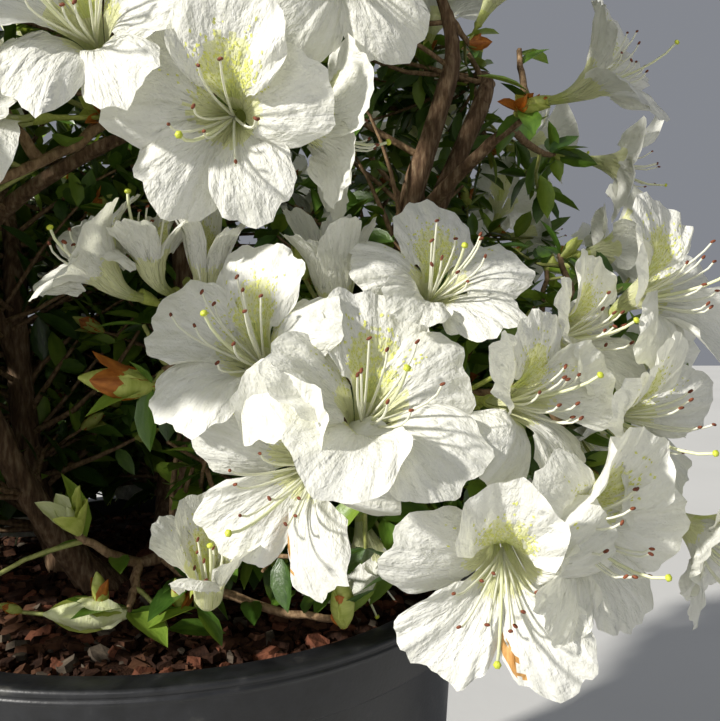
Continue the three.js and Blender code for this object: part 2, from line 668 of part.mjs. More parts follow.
function potSolid() {
  const under = POT_HEIGHT - POT_WALL;
  const skirtFoot = POT_HEIGHT - SKIRT_DEPTH;
  const profile = [
    [0, 0], [BASE_RADIUS - 4, 0], [BASE_RADIUS, 4],
    [wallInner(under) + POT_WALL, under - 0.5],
    [RIM_RADIUS - 5, under - 0.5], [RIM_RADIUS - 5.5, skirtFoot],
    [RIM_RADIUS - 2.6, skirtFoot],
    [RIM_RADIUS - 1.6, POT_HEIGHT - 7], [RIM_RADIUS - 0.4, POT_HEIGHT - 5.5],
    [RIM_RADIUS - 1.6, POT_HEIGHT - 4], [RIM_RADIUS, POT_HEIGHT - 2], [RIM_RADIUS - 1, POT_HEIGHT],
    [LIP_INNER, POT_HEIGHT],
    [wallInner(5), 5], [wallInner(5) - 4, POT_WALL], [0, POT_WALL],
  ];
  let pot = solidFromGeometry(turned(profile, POT_SIDES));
  for (let i = 0; i < DRAIN_HOLES; i += 1) {
    const hole = new THREE.CylinderGeometry(DRAIN_RADIUS, DRAIN_RADIUS, 24, 8);
    hole.rotateZ(Math.PI / 2);
    hole.rotateX(0.1);
    hole.translate(BASE_RADIUS + 1, 0, DRAIN_HEIGHT);
    hole.rotateZ((2 * Math.PI * (i + 0.5)) / DRAIN_HOLES + 0.05);
    pot = pot.subtract(solidFromGeometry(hole));
  }
  return pot;
}

function mixSolid() {
  const floor = POT_WALL + GAP;
  const edge = MIX_TOP - MIX_EDGE_DROP;
  const facetSag = wallInner(edge) * (1 - Math.cos(Math.PI / POT_SIDES));
  const clear = GAP + 0.1 * facetSag;
  const profile = [
    [0, floor], [wallInner(5) - 4 - clear, floor], [wallInner(5) - clear, 5 + GAP],
    [wallInner(edge) - clear, edge], [MIX_FLAT_RADIUS, MIX_TOP], [0, MIX_TOP]];
  return solidFromGeometry(turned(profile, POT_SIDES));
}

// Materials
const material = (color, roughness) => (
  new THREE.MeshStandardMaterial({ color, roughness, metalness: 0 }));
const POT_PLASTIC = () => material(0x1d1d1f, 0.45);
const MIX_BARK = () => material(0x4a2e20, 0.95);
const BARK = () => material(0x6f5a48, 0.85);
const FOLIAGE = () => material(0xe9ead8, 0.7);

const shrub = new THREE.Group();
function addNode(name, solid, look) {
  const mesh = new THREE.Mesh(outerBody(solid), look());
  mesh.name = name;
  shrub.add(mesh);
}

addNode("pot", potSolid(), POT_PLASTIC);
addNode("potting_mix", mixSolid(), MIX_BARK);
for (const [name, stem] of Object.entries(stems)) addNode(`stem_${name}`, stemSolid(stem, 0), BARK);
const trusses = growTrusses();
const grown = PLACED.flatMap(({ blossoms }) => (
  blossoms.map((row) => ({ centre: point(row.slice(0, 3)) }))));
for (const mass of masses) {
  addNode(`bough_${mass.name}`, boughSolid(mass), BARK);
  addNode(`foliage_${mass.name}`, massSolid(mass, growMass(mass, trusses, grown)), FOLIAGE);
}

export default shrub;
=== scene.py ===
# White azalea shrub in a black nursery pot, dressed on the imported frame. Lengths are in millimetres until
# a mesh is made. The growth rule of the solids is written again here, with the same named sizes, and is
# carried on to ruffled blossoms with stamens, buds, finer twigs, leaves, bark and bark chips.
import math

import bmesh
import bpy
import numpy as np
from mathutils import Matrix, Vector, noise


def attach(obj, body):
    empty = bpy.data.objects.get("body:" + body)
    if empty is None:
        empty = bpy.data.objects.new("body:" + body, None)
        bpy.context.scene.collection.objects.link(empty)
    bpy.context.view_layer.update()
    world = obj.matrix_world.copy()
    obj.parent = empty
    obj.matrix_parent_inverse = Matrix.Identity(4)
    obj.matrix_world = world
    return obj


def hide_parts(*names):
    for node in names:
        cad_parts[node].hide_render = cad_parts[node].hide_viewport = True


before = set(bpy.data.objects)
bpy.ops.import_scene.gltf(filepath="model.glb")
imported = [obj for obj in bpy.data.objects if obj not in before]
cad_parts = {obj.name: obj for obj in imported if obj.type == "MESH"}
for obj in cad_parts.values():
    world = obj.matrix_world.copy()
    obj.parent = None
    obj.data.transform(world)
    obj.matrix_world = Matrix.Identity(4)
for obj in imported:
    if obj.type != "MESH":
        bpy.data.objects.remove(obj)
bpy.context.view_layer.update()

MM = 0.001
UP = np.array([0.0, 0.0, 1.0])
GAP = 0.3
GAPS_AT_START = 1.3

# Seeds of the random draws: a blossom, truss, bud or limb adds its own number
SEEDS = {
    "finer_trusses": 411, "corolla": 3000, "petals": 7000, "flecks": 9000, "stamens": 5000,
    "truss_twigs": 31000, "inner_twigs": 52017, "low_twigs": 61001, "placed_twigs": 2718,
    "node_scales": 64000, "tube_scales": 77, "placed_buds": 800, "tip_buds": 900, "leaves_outer": 71,
    "leaves_inner": 72, "stem_bark": 11, "bough_bark": 31, "chips": 88,
}

# Pot and potting mix
POT_HEIGHT = 300
RIM_RADIUS = 178
LIP_WIDTH = 14
SKIRT_DEPTH = 26
BASE_RADIUS = 150
POT_WALL = 2.5
DRAIN_HOLES = 8
DRAIN_RADIUS = 9
DRAIN_HEIGHT = 12
DRAIN_TURN = 0.05
DRAIN_SIDES = 20
DRAIN_CUT = 24
MIX_TOP = 290
MIX_EDGE_DROP = 4
MIX_FLAT_RADIUS = 110
LIP_INNER = RIM_RADIUS - LIP_WIDTH

# Crown: how far the blossoms reach from the crown's centre on each side
CROWN_CENTRE = np.array([5.0, 8.0, 470.0])
CROWN_FAR = np.array([305.0, 290.0, 272.0])
CROWN_NEAR = np.array([300.0, 272.0, 215.0])
LOWEST_TRUSS = 352
LOWEST_TIP = 303

# The crown stands open to the front between its masses: only the placed blossoms grow in this square cone
GAP_APEX = np.array([109.0, -464.0, 441.0])
GAP_DIP = math.radians(3)
GAP_SPREAD = math.tan(math.radians(26.5))
VIEW_ACROSS = 50
GAP_DEPTH = 440
GAP_HIDDEN_FROM = 325
GAP_HIDDEN_BELOW = 0.1
GAP_HIDDEN_RIGHT_OF = -0.26
GAP_EDGE_FROM = 395
GAP_EDGE_RIGHT_OF = 0.36
STEM_WINDOW = (0.035, 0.225, 0.165)
STEM_WINDOW_DEPTH = 512

# Stems: foot on the mix, a bend and a tip, with the radius at foot and tip
FLARE = 0.6
FLARE_SHARE = 0.24
STEM_STEPS = 8
STEMS = {
    "left": ((-66, -6), (-94, -8, 345), (-93, -10, 455), (8.5, 6.6)),
    "left_front": ((-36, -36), (-66, -66, 340), (-88, -84, 428), (8.2, 6.0)),
    "front": ((26, -44), (50, -62, 325), (82, -84, 356), (8.6, 6.4)),
    "right_low": ((82, -22), (120, -28, 325), (160, -30, 372), (7.6, 5.8)),
    "right_inner": ((62, 6), (112, 10, 420), (163, 14, 588), (9.0, 5.8)),
    "right_outer": ((46, 38), (128, 42, 440), (188, 46, 582), (9.4, 6.0)),
    "centre": ((0, 6), (14, 10, 430), (-12, 12, 560), (9.2, 5.8)),
    "back": ((-20, 56), (-34, 92, 380), (-30, 116, 480), (8.8, 6.2)),
}

# Boughs, and the stems inside the masses
BOUGH_STEPS = 4
BOUGH_SHARE = 0.62
FORK_TURN = 0.6
BOUGH_RUN = 0.4
BOUGH_RADIUS = (5.2, 3.9)
HUB_STEPS = 3
HUB_RADIUS = (3.8, 2.4)

# Masses: stem, share of the stem where the bough leaves, azimuth, distance from the axis and height
MASSES = {
    "front": ("front", 1, -43.5, 163, 388),
    "low_front": ("front", 0.42, -86, 116, 330),
    "upper_front": ("left_front", 1, -76, 122, 532),
    "upper_front_right": ("right_inner", 0.68, -12, 208, 556),
    "left_front": ("left_front", 0.62, -150, 185, 405),
    "left_back": ("left", 0.6, 150, 185, 405),
    "back": ("back", 0.6, 96, 190, 400),
    "right_back": ("right_outer", 0.42, 42, 190, 405),
    "right": ("right_low", 1, -6, 215, 405),
    "upper_left_front": ("left", 0.78, -152, 160, 560),
    "upper_left_back": ("left", 1, 155, 160, 565),
    "upper_back": ("back", 1, 100, 160, 568),
    "upper_right_back": ("right_outer", 1, 34, 215, 612),
    "top_left": ("centre", 1, 175, 55, 645),
    "top_right": ("right_inner", 1, 6, 150, 655),
}
WALLS = {
    ("front", "upper_front"): ((63, -189, 472), (0.05, -0.75, 1)),
    ("front", "low_front"): ((68, -178, 361), (-0.4, 0.5, -0.77)),
    ("front", "right"): ((250, -112, 400), (0.35, 0.93, 0.1)),
    ("front", "upper_front_right"): ((200, -120, 515), (0.2, 0.5, 0.84)),
}
NO_MASS = -1

# Trusses of the open front: node, then blossoms as centre, turn, lift, roll, width, and how far open
PLACED = [
    ("front", (106, -158, 386), [
        (117, -210, 417, 18, 38, 4, 76, 1), (82, -204, 390, -30, -8, 10, 80, 1)], None),
    ("front", (114, -126, 418), [
        (141, -177, 461, 14, 36, 6, 72, 1), (99, -154, 454, -14, 70, 0, 66, 0.35)], None),
    ("front", (88, -150, 410), [(64, -196, 433, -32, 24, -8, 78, 1)], None),
    ("front", (44, -136, 438), [
        (8, -178, 466, -60, 50, 0, 60, 0.85), (28, -172, 472, -30, 72, 0, 58, 0.8),
        (50, -164, 462, 10, 72, 0, 58, 0.35)], None),
    ("front", (162, -152, 372), [
        (155, -213, 352, -14, -15, 0, 82, 1), (199, -202, 367, 30, 0, 16, 72, 1)], None),
    ("front", (150, -138, 408), [
        (175, -197, 413, 38, 8, 8, 70, 1), (201, -164, 437, 46, 12, 0, 66, 0.95)], None),
    ("front", (188, -125, 416), [
        (233, -164, 455, 42, 14, 0, 72, 1), (220, -181, 401, 40, -6, 0, 76, 1)], None),
    ("front", (205, -134, 376), [(249, -176, 354, 40, -20, 0, 68, 1)], None),
    ("front", (28, -146, 420), [], (-78, 8, 32)),
    ("upper_front", (10, -150, 522), [
        (16, -209, 544, 0, 14, 0, 78, 1), (-32, -198, 514, -30, 5, 0, 68, 1)], None),
    ("upper_front", (66, -148, 524), [
        (62, -205, 508, -4, -14, 8, 74, 1), (103, -174, 512, 112, 0, 0, 66, 1)], None),
    ("upper_front", (92, -140, 575), [(107, -196, 562, 12, -26, 0, 76, 1)], None),
    ("low_front", (36, -124, 324), [(51, -172, 345, 14, 62, -10, 72, 0.62)], None),
    ("low_front", (-11, -140, 350), [], (-15, 60, 28)),
    ("low_front", (8, -136, 313), [], (-80, 4, 36)),
    ("low_front", (101, -134, 311), [], (-10, 78, 27)),
    ("upper_front_right", (196, -44, 553), [(238, -74, 568, 52, 26, 0, 82, 0.85)], None),
]

# Growth of the trusses that no one placed
TRUSS_SEED = 20117
SKIPPED_DRAWS = 4
TRUSS_TRIES = 2600
TRUSS_SPAN = 1.75
TRUSS_SPACING = 70
TRUSS_DEPTH = (56, 74)
TRUSS_MARGIN = 8
BLOSSOM_SPACING = 52
BLOSSOM_WIDTH = (71, 83)
BLOSSOM_TRIES = 14
BLOSSOM_TILT = (18, 62)
BLOSSOM_ROLL = (-20, 20)
SPIRAL = 2.4
TRUSS_OF_THREE = 0.45
HALF_OPEN_SHARE = 0.14
HALF_OPEN = 0.7
CLOSED_SPREAD = 0.35
CUP = 1.3
STALK = (44, 54)
SHOOT_STEPS = 2
SHOOT_CHOICES = 6
SHORTEST_SHOOT = 4
SHOOT_BEND = 0.55
SHOOT_SAG = 0.1
FOOT_SHARE = 0.93
LEAF_LENGTH = (27, 42)
LEAF_TILT = (45, 80)
LEAF_SINK = 0.4
LEAF_SITES = ((1, 0.76, 0), (1, 0.62, 2.1), (0, 0.7, 4.2))
LEAF_WIDTH = 0.36
LEAF_WIDEST = 0.45
LEAF_DROOP = 0.1
ITEM_MARGIN = 0.4
LIMB_MARGIN = 1.6
LOBES = 5


def vec(*values):
    return np.array(values, dtype=float)


def unit(v):
    return v / np.linalg.norm(v)


def mix(pair, share):
    return pair[0] + (pair[1] - pair[0]) * share


def smooth(x, start, end):
    t = np.clip((x - start) / (end - start), 0, 1)
    return t * t * (3 - 2 * t)


def draws_of(name, number=0):
    return np.random.RandomState(SEEDS[name] + number)


def seeded(seed):
    """A generator of shares from 0 to 1, past its first draws."""
    state = seed

    def draw():
        nonlocal state
        state = (state * 48271) % 2147483647
        return state / 2147483647

    for _ in range(SKIPPED_DRAWS):
        draw()
    return draw


def bezier(curve, t):
    t = np.asarray(t, dtype=float)[..., None]
    return curve[0] * (1 - t) ** 2 + curve[1] * 2 * t * (1 - t) + curve[2] * t * t


def heading_of(curve, t):
    return unit((curve[1] - curve[0]) * (1 - t) + (curve[2] - curve[1]) * t)


def tapering(radius, flare=0):
    """The radius along a limb, from foot to tip, wider at the foot where it flares."""
    def at(share):
        near_foot = np.maximum(0, 1 - share / FLARE_SHARE)
        return mix(radius, share) * (1 + flare * near_foot * near_foot)
    return at


bough_radius = tapering(BOUGH_RADIUS)
hub_radius = tapering(HUB_RADIUS)


# The limbs, as in the solids
stems = {}
for name, (foot, bend, tip, radius) in STEMS.items():
    stems[name] = {"curve": (vec(*foot, MIX_TOP + GAP), vec(*bend), vec(*tip)), "tip_radius": radius[1],
                   "radius_at": tapering(radius, FLARE)}

masses = []
for number, (name, (stem, at, azimuth, out, height)) in enumerate(MASSES.items()):
    fork = bezier(stems[stem]["curve"], at)
    turn = math.radians(azimuth)
    hub = vec(out * math.cos(turn), out * math.sin(turn), height)
    reach = np.linalg.norm(hub - fork)
    onward = heading_of(stems[stem]["curve"], at)
    heading = onward + (unit(hub - fork) - onward) * (FORK_TURN if at < 1 else 0)
    gap_share = GAP / reach
    masses.append({
        "name": name, "number": number, "hub": hub, "on_stem": at < 1,
        "curve": (fork, fork + heading * reach * BOUGH_RUN, hub),
        "start": 0 if at < 1 else gap_share * GAPS_AT_START,
        "hub_start": BOUGH_SHARE + gap_share * GAPS_AT_START})

limb_rows = []


def add_limb(owner, curve, start, end, radius_at, steps):
    for i in range(steps):
        near, far = i / steps, (i + 1) / steps
        limb_rows.append((owner, bezier(curve, start + (end - start) * near),
                          bezier(curve, start + (end - start) * far), max(radius_at(near), radius_at(far))))


for stem in stems.values():
    add_limb(NO_MASS, stem["curve"], 0, 1, stem["radius_at"], STEM_STEPS)
for mass in masses:
    add_limb(NO_MASS, mass["curve"], mass["start"], BOUGH_SHARE, bough_radius, BOUGH_STEPS)
    add_limb(mass["number"], mass["curve"], mass["hub_start"], 1, hub_radius, HUB_STEPS)
LIMB_OWNER = np.array([row[0] for row in limb_rows])
LIMB_START = np.array([row[1] for row in limb_rows])
LIMB_RUN = np.array([row[2] - row[1] for row in limb_rows])
LIMB_RADIUS = np.array([row[3] for row in limb_rows])


def wall_between(mass, other):
    """A point of the plane between two masses, and its normal towards the other."""
    own = WALLS.get((mass["name"], other["name"]))
    theirs = WALLS.get((other["name"], mass["name"]))
    if own:
        return vec(*own[0]), unit(vec(*own[1]))
    if theirs:
        return vec(*theirs[0]), -unit(vec(*theirs[1]))
    return (mass["hub"] + other["hub"]) / 2, unit(other["hub"] - mass["hub"])


for mass in masses:
    planes = [wall_between(mass, other) for other in masses if other is not mass]
    mass["at"], mass["normal"] = (np.array(part) for part in zip(*planes))


def in_space(mass, points, margin):
    beyond = ((points[:, None] - mass["at"]) * mass["normal"]).sum(2)
    return bool((beyond < -margin).all())


def limb_distance(points):
    away = points[:, None] - LIMB_START
    share = np.clip((away * LIMB_RUN).sum(2) / (LIMB_RUN ** 2).sum(1), 0, 1)
    return np.linalg.norm(away - share[..., None] * LIMB_RUN, axis=2) - LIMB_RADIUS


def fits(mass, points):
    if (points[:, 2] <= LOWEST_TIP).any() or not in_space(mass, points, ITEM_MARGIN):
        return False
    distance = limb_distance(points)
    return bool((distance[:, LIMB_OWNER != mass["number"]] > LIMB_MARGIN).all())


def from_apex(points):
    """How far points lie to the right of the open front's apex, beyond it and above it."""
    away = points - GAP_APEX
    depth = away[:, 1] * math.cos(GAP_DIP) - away[:, 2] * math.sin(GAP_DIP)
    rise = away[:, 2] * math.cos(GAP_DIP) + away[:, 1] * math.sin(GAP_DIP)
    return away[:, 0], depth, rise


def in_front_gap(points):
    across, depth, rise = from_apex(points)
    edge = depth * GAP_SPREAD
    in_cone = (depth < GAP_DEPTH) & (abs(across) < edge) & (abs(rise) < edge)
    hidden = ((depth > GAP_HIDDEN_FROM) & (rise < GAP_HIDDEN_BELOW * depth)
              & (across > GAP_HIDDEN_RIGHT_OF * depth))
    at_edge = (depth > GAP_EDGE_FROM) & (across > GAP_EDGE_RIGHT_OF * depth)
    return in_cone & ~hidden & ~at_edge


def in_stem_window(points):
    """Before the two stems at the crown's right, which stand free of leaves from the front."""
    across, depth, rise = from_apex(points)
    low_x, high_x, low_z = STEM_WINDOW
    within = (across / depth > low_x) & (across / depth < high_x) & (rise / depth > low_z)
    return (depth < STEM_WINDOW_DEPTH) & within


def is_open_view(points):
    """Whether any of the points would stand in the open front or before the two stems."""
    return in_front_gap(points).any() or in_stem_window(points).any()


def crown_scale(direction):
    return 1 / np.linalg.norm(direction / np.where(direction > 0, CROWN_FAR, CROWN_NEAR), axis=-1)


def outward_at(p):
    away = p - CROWN_CENTRE
    return unit(away / np.where(away > 0, CROWN_FAR, CROWN_NEAR) ** 2)


def basis_of(direction):
    flat = np.cross(UP, direction)
    side = unit(flat) if np.linalg.norm(flat) > 0.1 else vec(1, 0, 0)
    first = unit(side - direction * side.dot(direction))
    return first, np.cross(direction, first)


def facing_of(turn, lift):
    turn, lift = math.radians(turn), math.radians(lift)
    return vec(math.sin(turn) * math.cos(lift), -math.cos(turn) * math.cos(lift), math.sin(lift))


def leaning(direction, spin, tilt):
    """A direction tilted by so many degrees, to the side that spin gives."""
    first, second = basis_of(direction)
    tilt = math.radians(tilt)
    return unit(direction * math.cos(tilt) + first * (math.cos(spin) * math.sin(tilt))
                + second * (math.sin(spin) * math.sin(tilt)))


def blossom_at(foot, centre, facing, roll, width, opened):
    side, up = basis_of(facing)
    roll = math.radians(roll)
    return {"foot": foot, "centre": centre, "facing": facing, "width": width, "open": opened,
            "up": up * math.cos(roll) + side * math.sin(roll),
            "side": side * math.cos(roll) - up * math.sin(roll)}


def placed_blossom(foot, row):
    x, y, z, turn, lift, roll, width, opened = row
    return blossom_at(foot, vec(x, y, z), facing_of(turn, lift), roll, width, opened)


def spread_of(b):
    """How wide a blossom stands, as a share of one that is fully open."""
    return CLOSED_SPREAD + (1 - CLOSED_SPREAD) * b["open"]


def blossom_outline(b):
    radius = b["width"] / 2
    spread = spread_of(b)

    def place(out, angle, height):
        return (b["centre"] + b["side"] * (math.cos(angle) * out * radius * spread)
                + b["up"] * (math.sin(angle) * out * radius * spread)
                + b["facing"] * ((height + (1 - b["open"]) * CUP * out) * radius))

    points = [place(0, 0, -0.4), b["foot"]]
    for lobe in range(LOBES):
        notch = math.radians(54 + 360 / LOBES * lobe)
        points += [place(0.3, notch, -0.42), place(0.72, notch, -0.08),
                   place(1, notch + math.radians(19), 0.03), place(1, notch + math.radians(53), -0.02)]
    return np.array(points)


def direction_at(height, turn):
    """A unit direction by its height and its turn."""
    flat = math.sqrt(1 - height * height)
    return vec(flat * math.cos(turn), flat * math.sin(turn), height)


def new_truss(number, mass, node, placed=None, bud=None):
    return {"number": number, "mass": mass, "node": node, "placed": placed, "bud": bud,
            "outward": outward_at(node)}


def grow_trusses():
    trusses = []
    for number, (owner, node, blossoms, bud) in enumerate(PLACED):
        mass = next(m for m in masses if m["name"] == owner)
        trusses.append(new_truss(number, mass, vec(*node), blossoms, bud))
    draw = seeded(TRUSS_SEED)
    for _ in range(TRUSS_TRIES):
        direction = direction_at(1 - TRUSS_SPAN * draw(), 2 * math.pi * draw())
        node = CROWN_CENTRE + direction * (crown_scale(direction) - mix(TRUSS_DEPTH, draw()))
        if node[2] <= LOWEST_TRUSS or in_front_gap(node[None])[0]:
            continue
        if min(np.linalg.norm(other["node"] - node) for other in trusses) <= TRUSS_SPACING:
            continue
        mass = next((m for m in masses if in_space(m, node[None], TRUSS_MARGIN)), None)
        if mass:
            trusses.append(new_truss(len(trusses), mass, node))
    return trusses


def grow_blossoms(truss, foot, draw, centres):
    if truss["placed"] is not None:
        return [placed_blossom(foot, row) for row in truss["placed"]]
    wanted = 3 if draw() < TRUSS_OF_THREE else 2
    spin = 2 * math.pi * draw()
    blossoms = []
    for i in range(BLOSSOM_TRIES):
        tilt = mix(BLOSSOM_TILT, draw())
        stalk = mix(STALK, draw())
        width = mix(BLOSSOM_WIDTH, draw())
        roll = mix(BLOSSOM_ROLL, draw())
        opened = HALF_OPEN if draw() < HALF_OPEN_SHARE else 1
        facing = leaning(truss["outward"], spin + i * SPIRAL, tilt)
        blossom = blossom_at(foot, truss["node"] + facing * stalk, facing, roll, width, opened)
        others = centres + [b["centre"] for b in blossoms]
        apart = all(np.linalg.norm(c - blossom["centre"]) >= BLOSSOM_SPACING for c in others)
        if len(blossoms) >= wanted or not apart:
            continue
        outline = blossom_outline(blossom)
        if fits(truss["mass"], outline) and not in_front_gap(outline).any():
            blossoms.append(blossom)
    return blossoms


def leaf_corners(leaf):
    across, along = leaf["across"], leaf["along"]
    normal = np.cross(along, across)
    middle = leaf["base"] + along * leaf["length"] * LEAF_WIDEST
    half = leaf["length"] * LEAF_WIDTH / 2
    return np.array([leaf["base"] + (along - normal * LEAF_DROOP) * leaf["length"],
                     middle + across * half, middle - across * half])


def grow_leaves(truss, rings, draw):
    leaves = []
    spin = 2 * math.pi * draw()
    for ring, share, turn in LEAF_SITES:
        at = rings[ring] + (rings[ring + 1] - rings[ring]) * share
        tilt = mix(LEAF_TILT, draw())
        length = mix(LEAF_LENGTH, draw())
        lean = leaning(unit(rings[ring + 1] - rings[ring]), spin + turn, tilt)
        leaf = {"base": at - lean * LEAF_SINK, "along": lean, "across": unit(np.cross(lean, UP)),
                "length": length}
        if fits(truss["mass"], leaf_corners(leaf)):
            leaves.append(leaf)
    return leaves


def shoot_between(start, end):
    """A sagging shoot's curve and the points of its rings."""
    reach = np.linalg.norm(end - start)
    curve = (start, start + (end - start) * SHOOT_BEND - UP * SHOOT_SAG * reach, end)
    return curve, bezier(curve, np.arange(SHOOT_STEPS + 1) / SHOOT_STEPS)


def foot_of(rings):
    """Where the stalks of the blossoms leave a shoot, just before its tip."""
    return rings[-2] + (rings[-1] - rings[-2]) * FOOT_SHARE


def grow_shoot(truss, tree):
    near = sorted(tree, key=lambda p: np.linalg.norm(p - truss["node"]))
    for p in near[:SHOOT_CHOICES]:
        curve, rings = shoot_between(p, truss["node"])
        if np.linalg.norm(p - truss["node"]) > SHORTEST_SHOOT and fits(truss["mass"], rings[1:]):
            return curve, rings
    return None


def grow_plan():
    trusses = grow_trusses()
    centres = [vec(*row[:3]) for _, _, blossoms, _ in PLACED for row in blossoms]
    grown = []
    for mass in masses:
        shares = np.arange(1, HUB_STEPS + 1) / HUB_STEPS
        tree = list(bezier(mass["curve"], mass["hub_start"] + (1 - mass["hub_start"]) * shares))
        own = sorted((t for t in trusses if t["mass"] is mass),
                     key=lambda t: np.linalg.norm(t["node"] - mass["hub"]))
        for truss in own:
            draw = seeded(TRUSS_SEED + 101 * truss["number"])
            shoot = grow_shoot(truss, tree)
            if shoot is None:
                continue
            curve, rings = shoot
            foot = foot_of(rings)
            blossoms = grow_blossoms(truss, foot, draw, centres)
            if not blossoms and not truss["bud"]:
                continue
            centres += [b["centre"] for b in blossoms]
            tree += list(rings[1:])
            grown.append({**truss, "curve": curve, "rings": rings, "foot": foot, "blossoms": blossoms,
                          "leaves": grow_leaves(truss, rings, draw)})
    return grown


plan = grow_plan()

# Finer growth inside the same reach: more trusses between the ones above, then twigs with leaves
FINE_TRIES = 2600
FINE_SPAN = 1.72
FINE_SPACING = 50
FINE_DEPTH = (58, 86)
FINE_BLOSSOMS = 2
FINE_BLOSSOM_SPACING = 49
FINE_BLOSSOM_DEPTH = 4
FINE_BLOSSOM_WIDTH = (66, 78)
FINE_STALK = (38, 50)
FINE_FIRST_NUMBER = 1000
DOWNWARD_COST = 12


def depth_in_crown(points):
    away = points - CROWN_CENTRE
    distance = np.linalg.norm(away, axis=1)
    return crown_scale(away / distance[:, None]) - distance


def is_inside(points, depth):
    return bool((depth_in_crown(points) > depth).all() and (points[:, 2] > LOWEST_TIP).all())


def clear_of_limbs(points, margin):
    return bool((limb_distance(points) > margin).all())


def is_free(blossom, others):
    """Whether a blossom of the finer growth has room."""
    outline = blossom_outline(blossom)
    return (is_inside(outline, FINE_BLOSSOM_DEPTH)
            and min(np.linalg.norm(c - blossom["centre"]) for c in others) > FINE_BLOSSOM_SPACING
            and clear_of_limbs(outline, LIMB_MARGIN) and not in_front_gap(outline).any())


def grow_finer_trusses(rng):
    tree = [p for truss in plan for p in truss["rings"][1:]]
    nodes = [truss["node"] for truss in plan]
    centres = [b["centre"] for truss in plan for b in truss["blossoms"]]
    grown = []
    for _ in range(FINE_TRIES):
        direction = direction_at(1 - FINE_SPAN * rng.rand(), 2 * math.pi * rng.rand())
        node = CROWN_CENTRE + direction * (crown_scale(direction) - mix(FINE_DEPTH, rng.rand()))
        tilts = rng.uniform(*BLOSSOM_TILT, BLOSSOM_TRIES)
        widths = rng.uniform(*FINE_BLOSSOM_WIDTH, BLOSSOM_TRIES)
        stalks = rng.uniform(*FINE_STALK, BLOSSOM_TRIES)
        rolls = rng.uniform(*BLOSSOM_ROLL, BLOSSOM_TRIES)
        opens = np.where(rng.rand(BLOSSOM_TRIES) < HALF_OPEN_SHARE, HALF_OPEN, 1)
        spin = 2 * math.pi * rng.rand()
        if node[2] <= LOWEST_TRUSS or in_front_gap(node[None])[0]:
            continue
        if min(np.linalg.norm(other - node) for other in nodes) <= FINE_SPACING:
            continue
        if not clear_of_limbs(node[None], LIMB_MARGIN):
            continue
        outward = outward_at(node)
        start = min(tree, key=lambda p: np.linalg.norm(p - node) + (DOWNWARD_COST if p[2] > node[2] else 0))
        curve, rings = shoot_between(start, node)
        foot = foot_of(rings)
        blossoms = []
        for i in range(BLOSSOM_TRIES):
            facing = leaning(outward, spin + i * SPIRAL, tilts[i])
            blossom = blossom_at(foot, node + facing * stalks[i], facing, rolls[i], widths[i], opens[i])
            if len(blossoms) < FINE_BLOSSOMS and is_free(blossom, centres + [b["centre"] for b in blossoms]):
                blossoms.append(blossom)
        nodes.append(node)
        centres += [b["centre"] for b in blossoms]
        tree += list(rings[1:])
        grown.append({**new_truss(FINE_FIRST_NUMBER + len(grown), None, node), "curve": curve,
                      "rings": rings, "foot": foot, "blossoms": blossoms, "leaves": []})
    return grown


trusses = plan + grow_finer_trusses(draws_of("finer_trusses"))


# Pieces: joined meshes from arrays of points, quads or triangles, places on the surface and material slots
class Piece:
    def __init__(self, name, materials):
        self.name = name
        self.materials = materials
        self.points, self.faces, self.places, self.slots = [], [], [], []
        self.count = 0

    def add(self, points, faces, places=None, slots=0):
        points = np.asarray(points, dtype=float).reshape(-1, 3)
        faces = np.asarray(faces, dtype=int)
        if faces.shape[1] == 3:
            faces = np.hstack([faces, -np.ones((len(faces), 1), dtype=int)])
        if places is None:
            places = np.zeros((len(points), 2))
        self.faces.append(np.where(faces < 0, -1, faces + self.count))
        self.points.append(points)
        self.places.append(np.asarray(places).reshape(-1, 2))
        self.slots.append(np.broadcast_to(np.asarray(slots, dtype=int), (len(faces),)))
        self.count += len(points)

    def add_rings(self, rings, sides, places=None, slots=0):
        """A skin over closed rings, with a flat cap at each end."""
        last = (len(rings) - 1) * sides
        self.add(rings, grid_faces(len(rings), sides, closed=True), places, slots)
        self.add(rings, fan_faces(0, sides, flipped=True) + fan_faces(last, sides), places, slots)

    def build(self, replaced, slot="foliage", smooth_faces=True):
        points, faces = np.vstack(self.points) * MM, np.vstack(self.faces)
        sizes = np.where(faces[:, 3] < 0, 3, 4)
        corners = faces.ravel()[faces.ravel() >= 0]
        mesh = bpy.data.meshes.new(self.name)
        mesh.vertices.add(len(points))
        mesh.vertices.foreach_set("co", points.ravel())
        mesh.loops.add(len(corners))
        mesh.loops.foreach_set("vertex_index", corners)
        mesh.polygons.add(len(faces))
        mesh.polygons.foreach_set("loop_start", np.concatenate([[0], np.cumsum(sizes)[:-1]]))
        mesh.polygons.foreach_set("material_index", np.concatenate(self.slots))
        mesh.polygons.foreach_set("use_smooth", np.full(len(faces), smooth_faces))
        uv = mesh.uv_layers.new(name="surface")
        uv.data.foreach_set("uv", np.vstack(self.places)[corners].ravel())
        mesh.update(calc_edges=True)
        mesh.validate()
        for material in self.materials:
            mesh.materials.append(material)
        piece = bpy.data.objects.new(self.name, mesh)
        bpy.context.scene.collection.objects.link(piece)
        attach(piece, "root")
        if replaced:
            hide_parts(*replaced)
        return piece


def grid_faces(rows, columns, closed=False):
    wide = columns if closed else columns - 1
    row, column = np.meshgrid(np.arange(rows - 1), np.arange(wide), indexing="ij")
    after = (column + 1) % columns
    return np.stack([row * columns + column, row * columns + after, (row + 1) * columns + after,
                     (row + 1) * columns + column], axis=-1).reshape(-1, 4)


def fan_faces(start, sides, flipped=False):
    """Triangles that close one ring, from its first point."""
    pairs = [(start + i, start + i + 1) for i in range(1, sides - 1)]
    return [(start, far, near) if flipped else (start, near, far) for near, far in pairs]


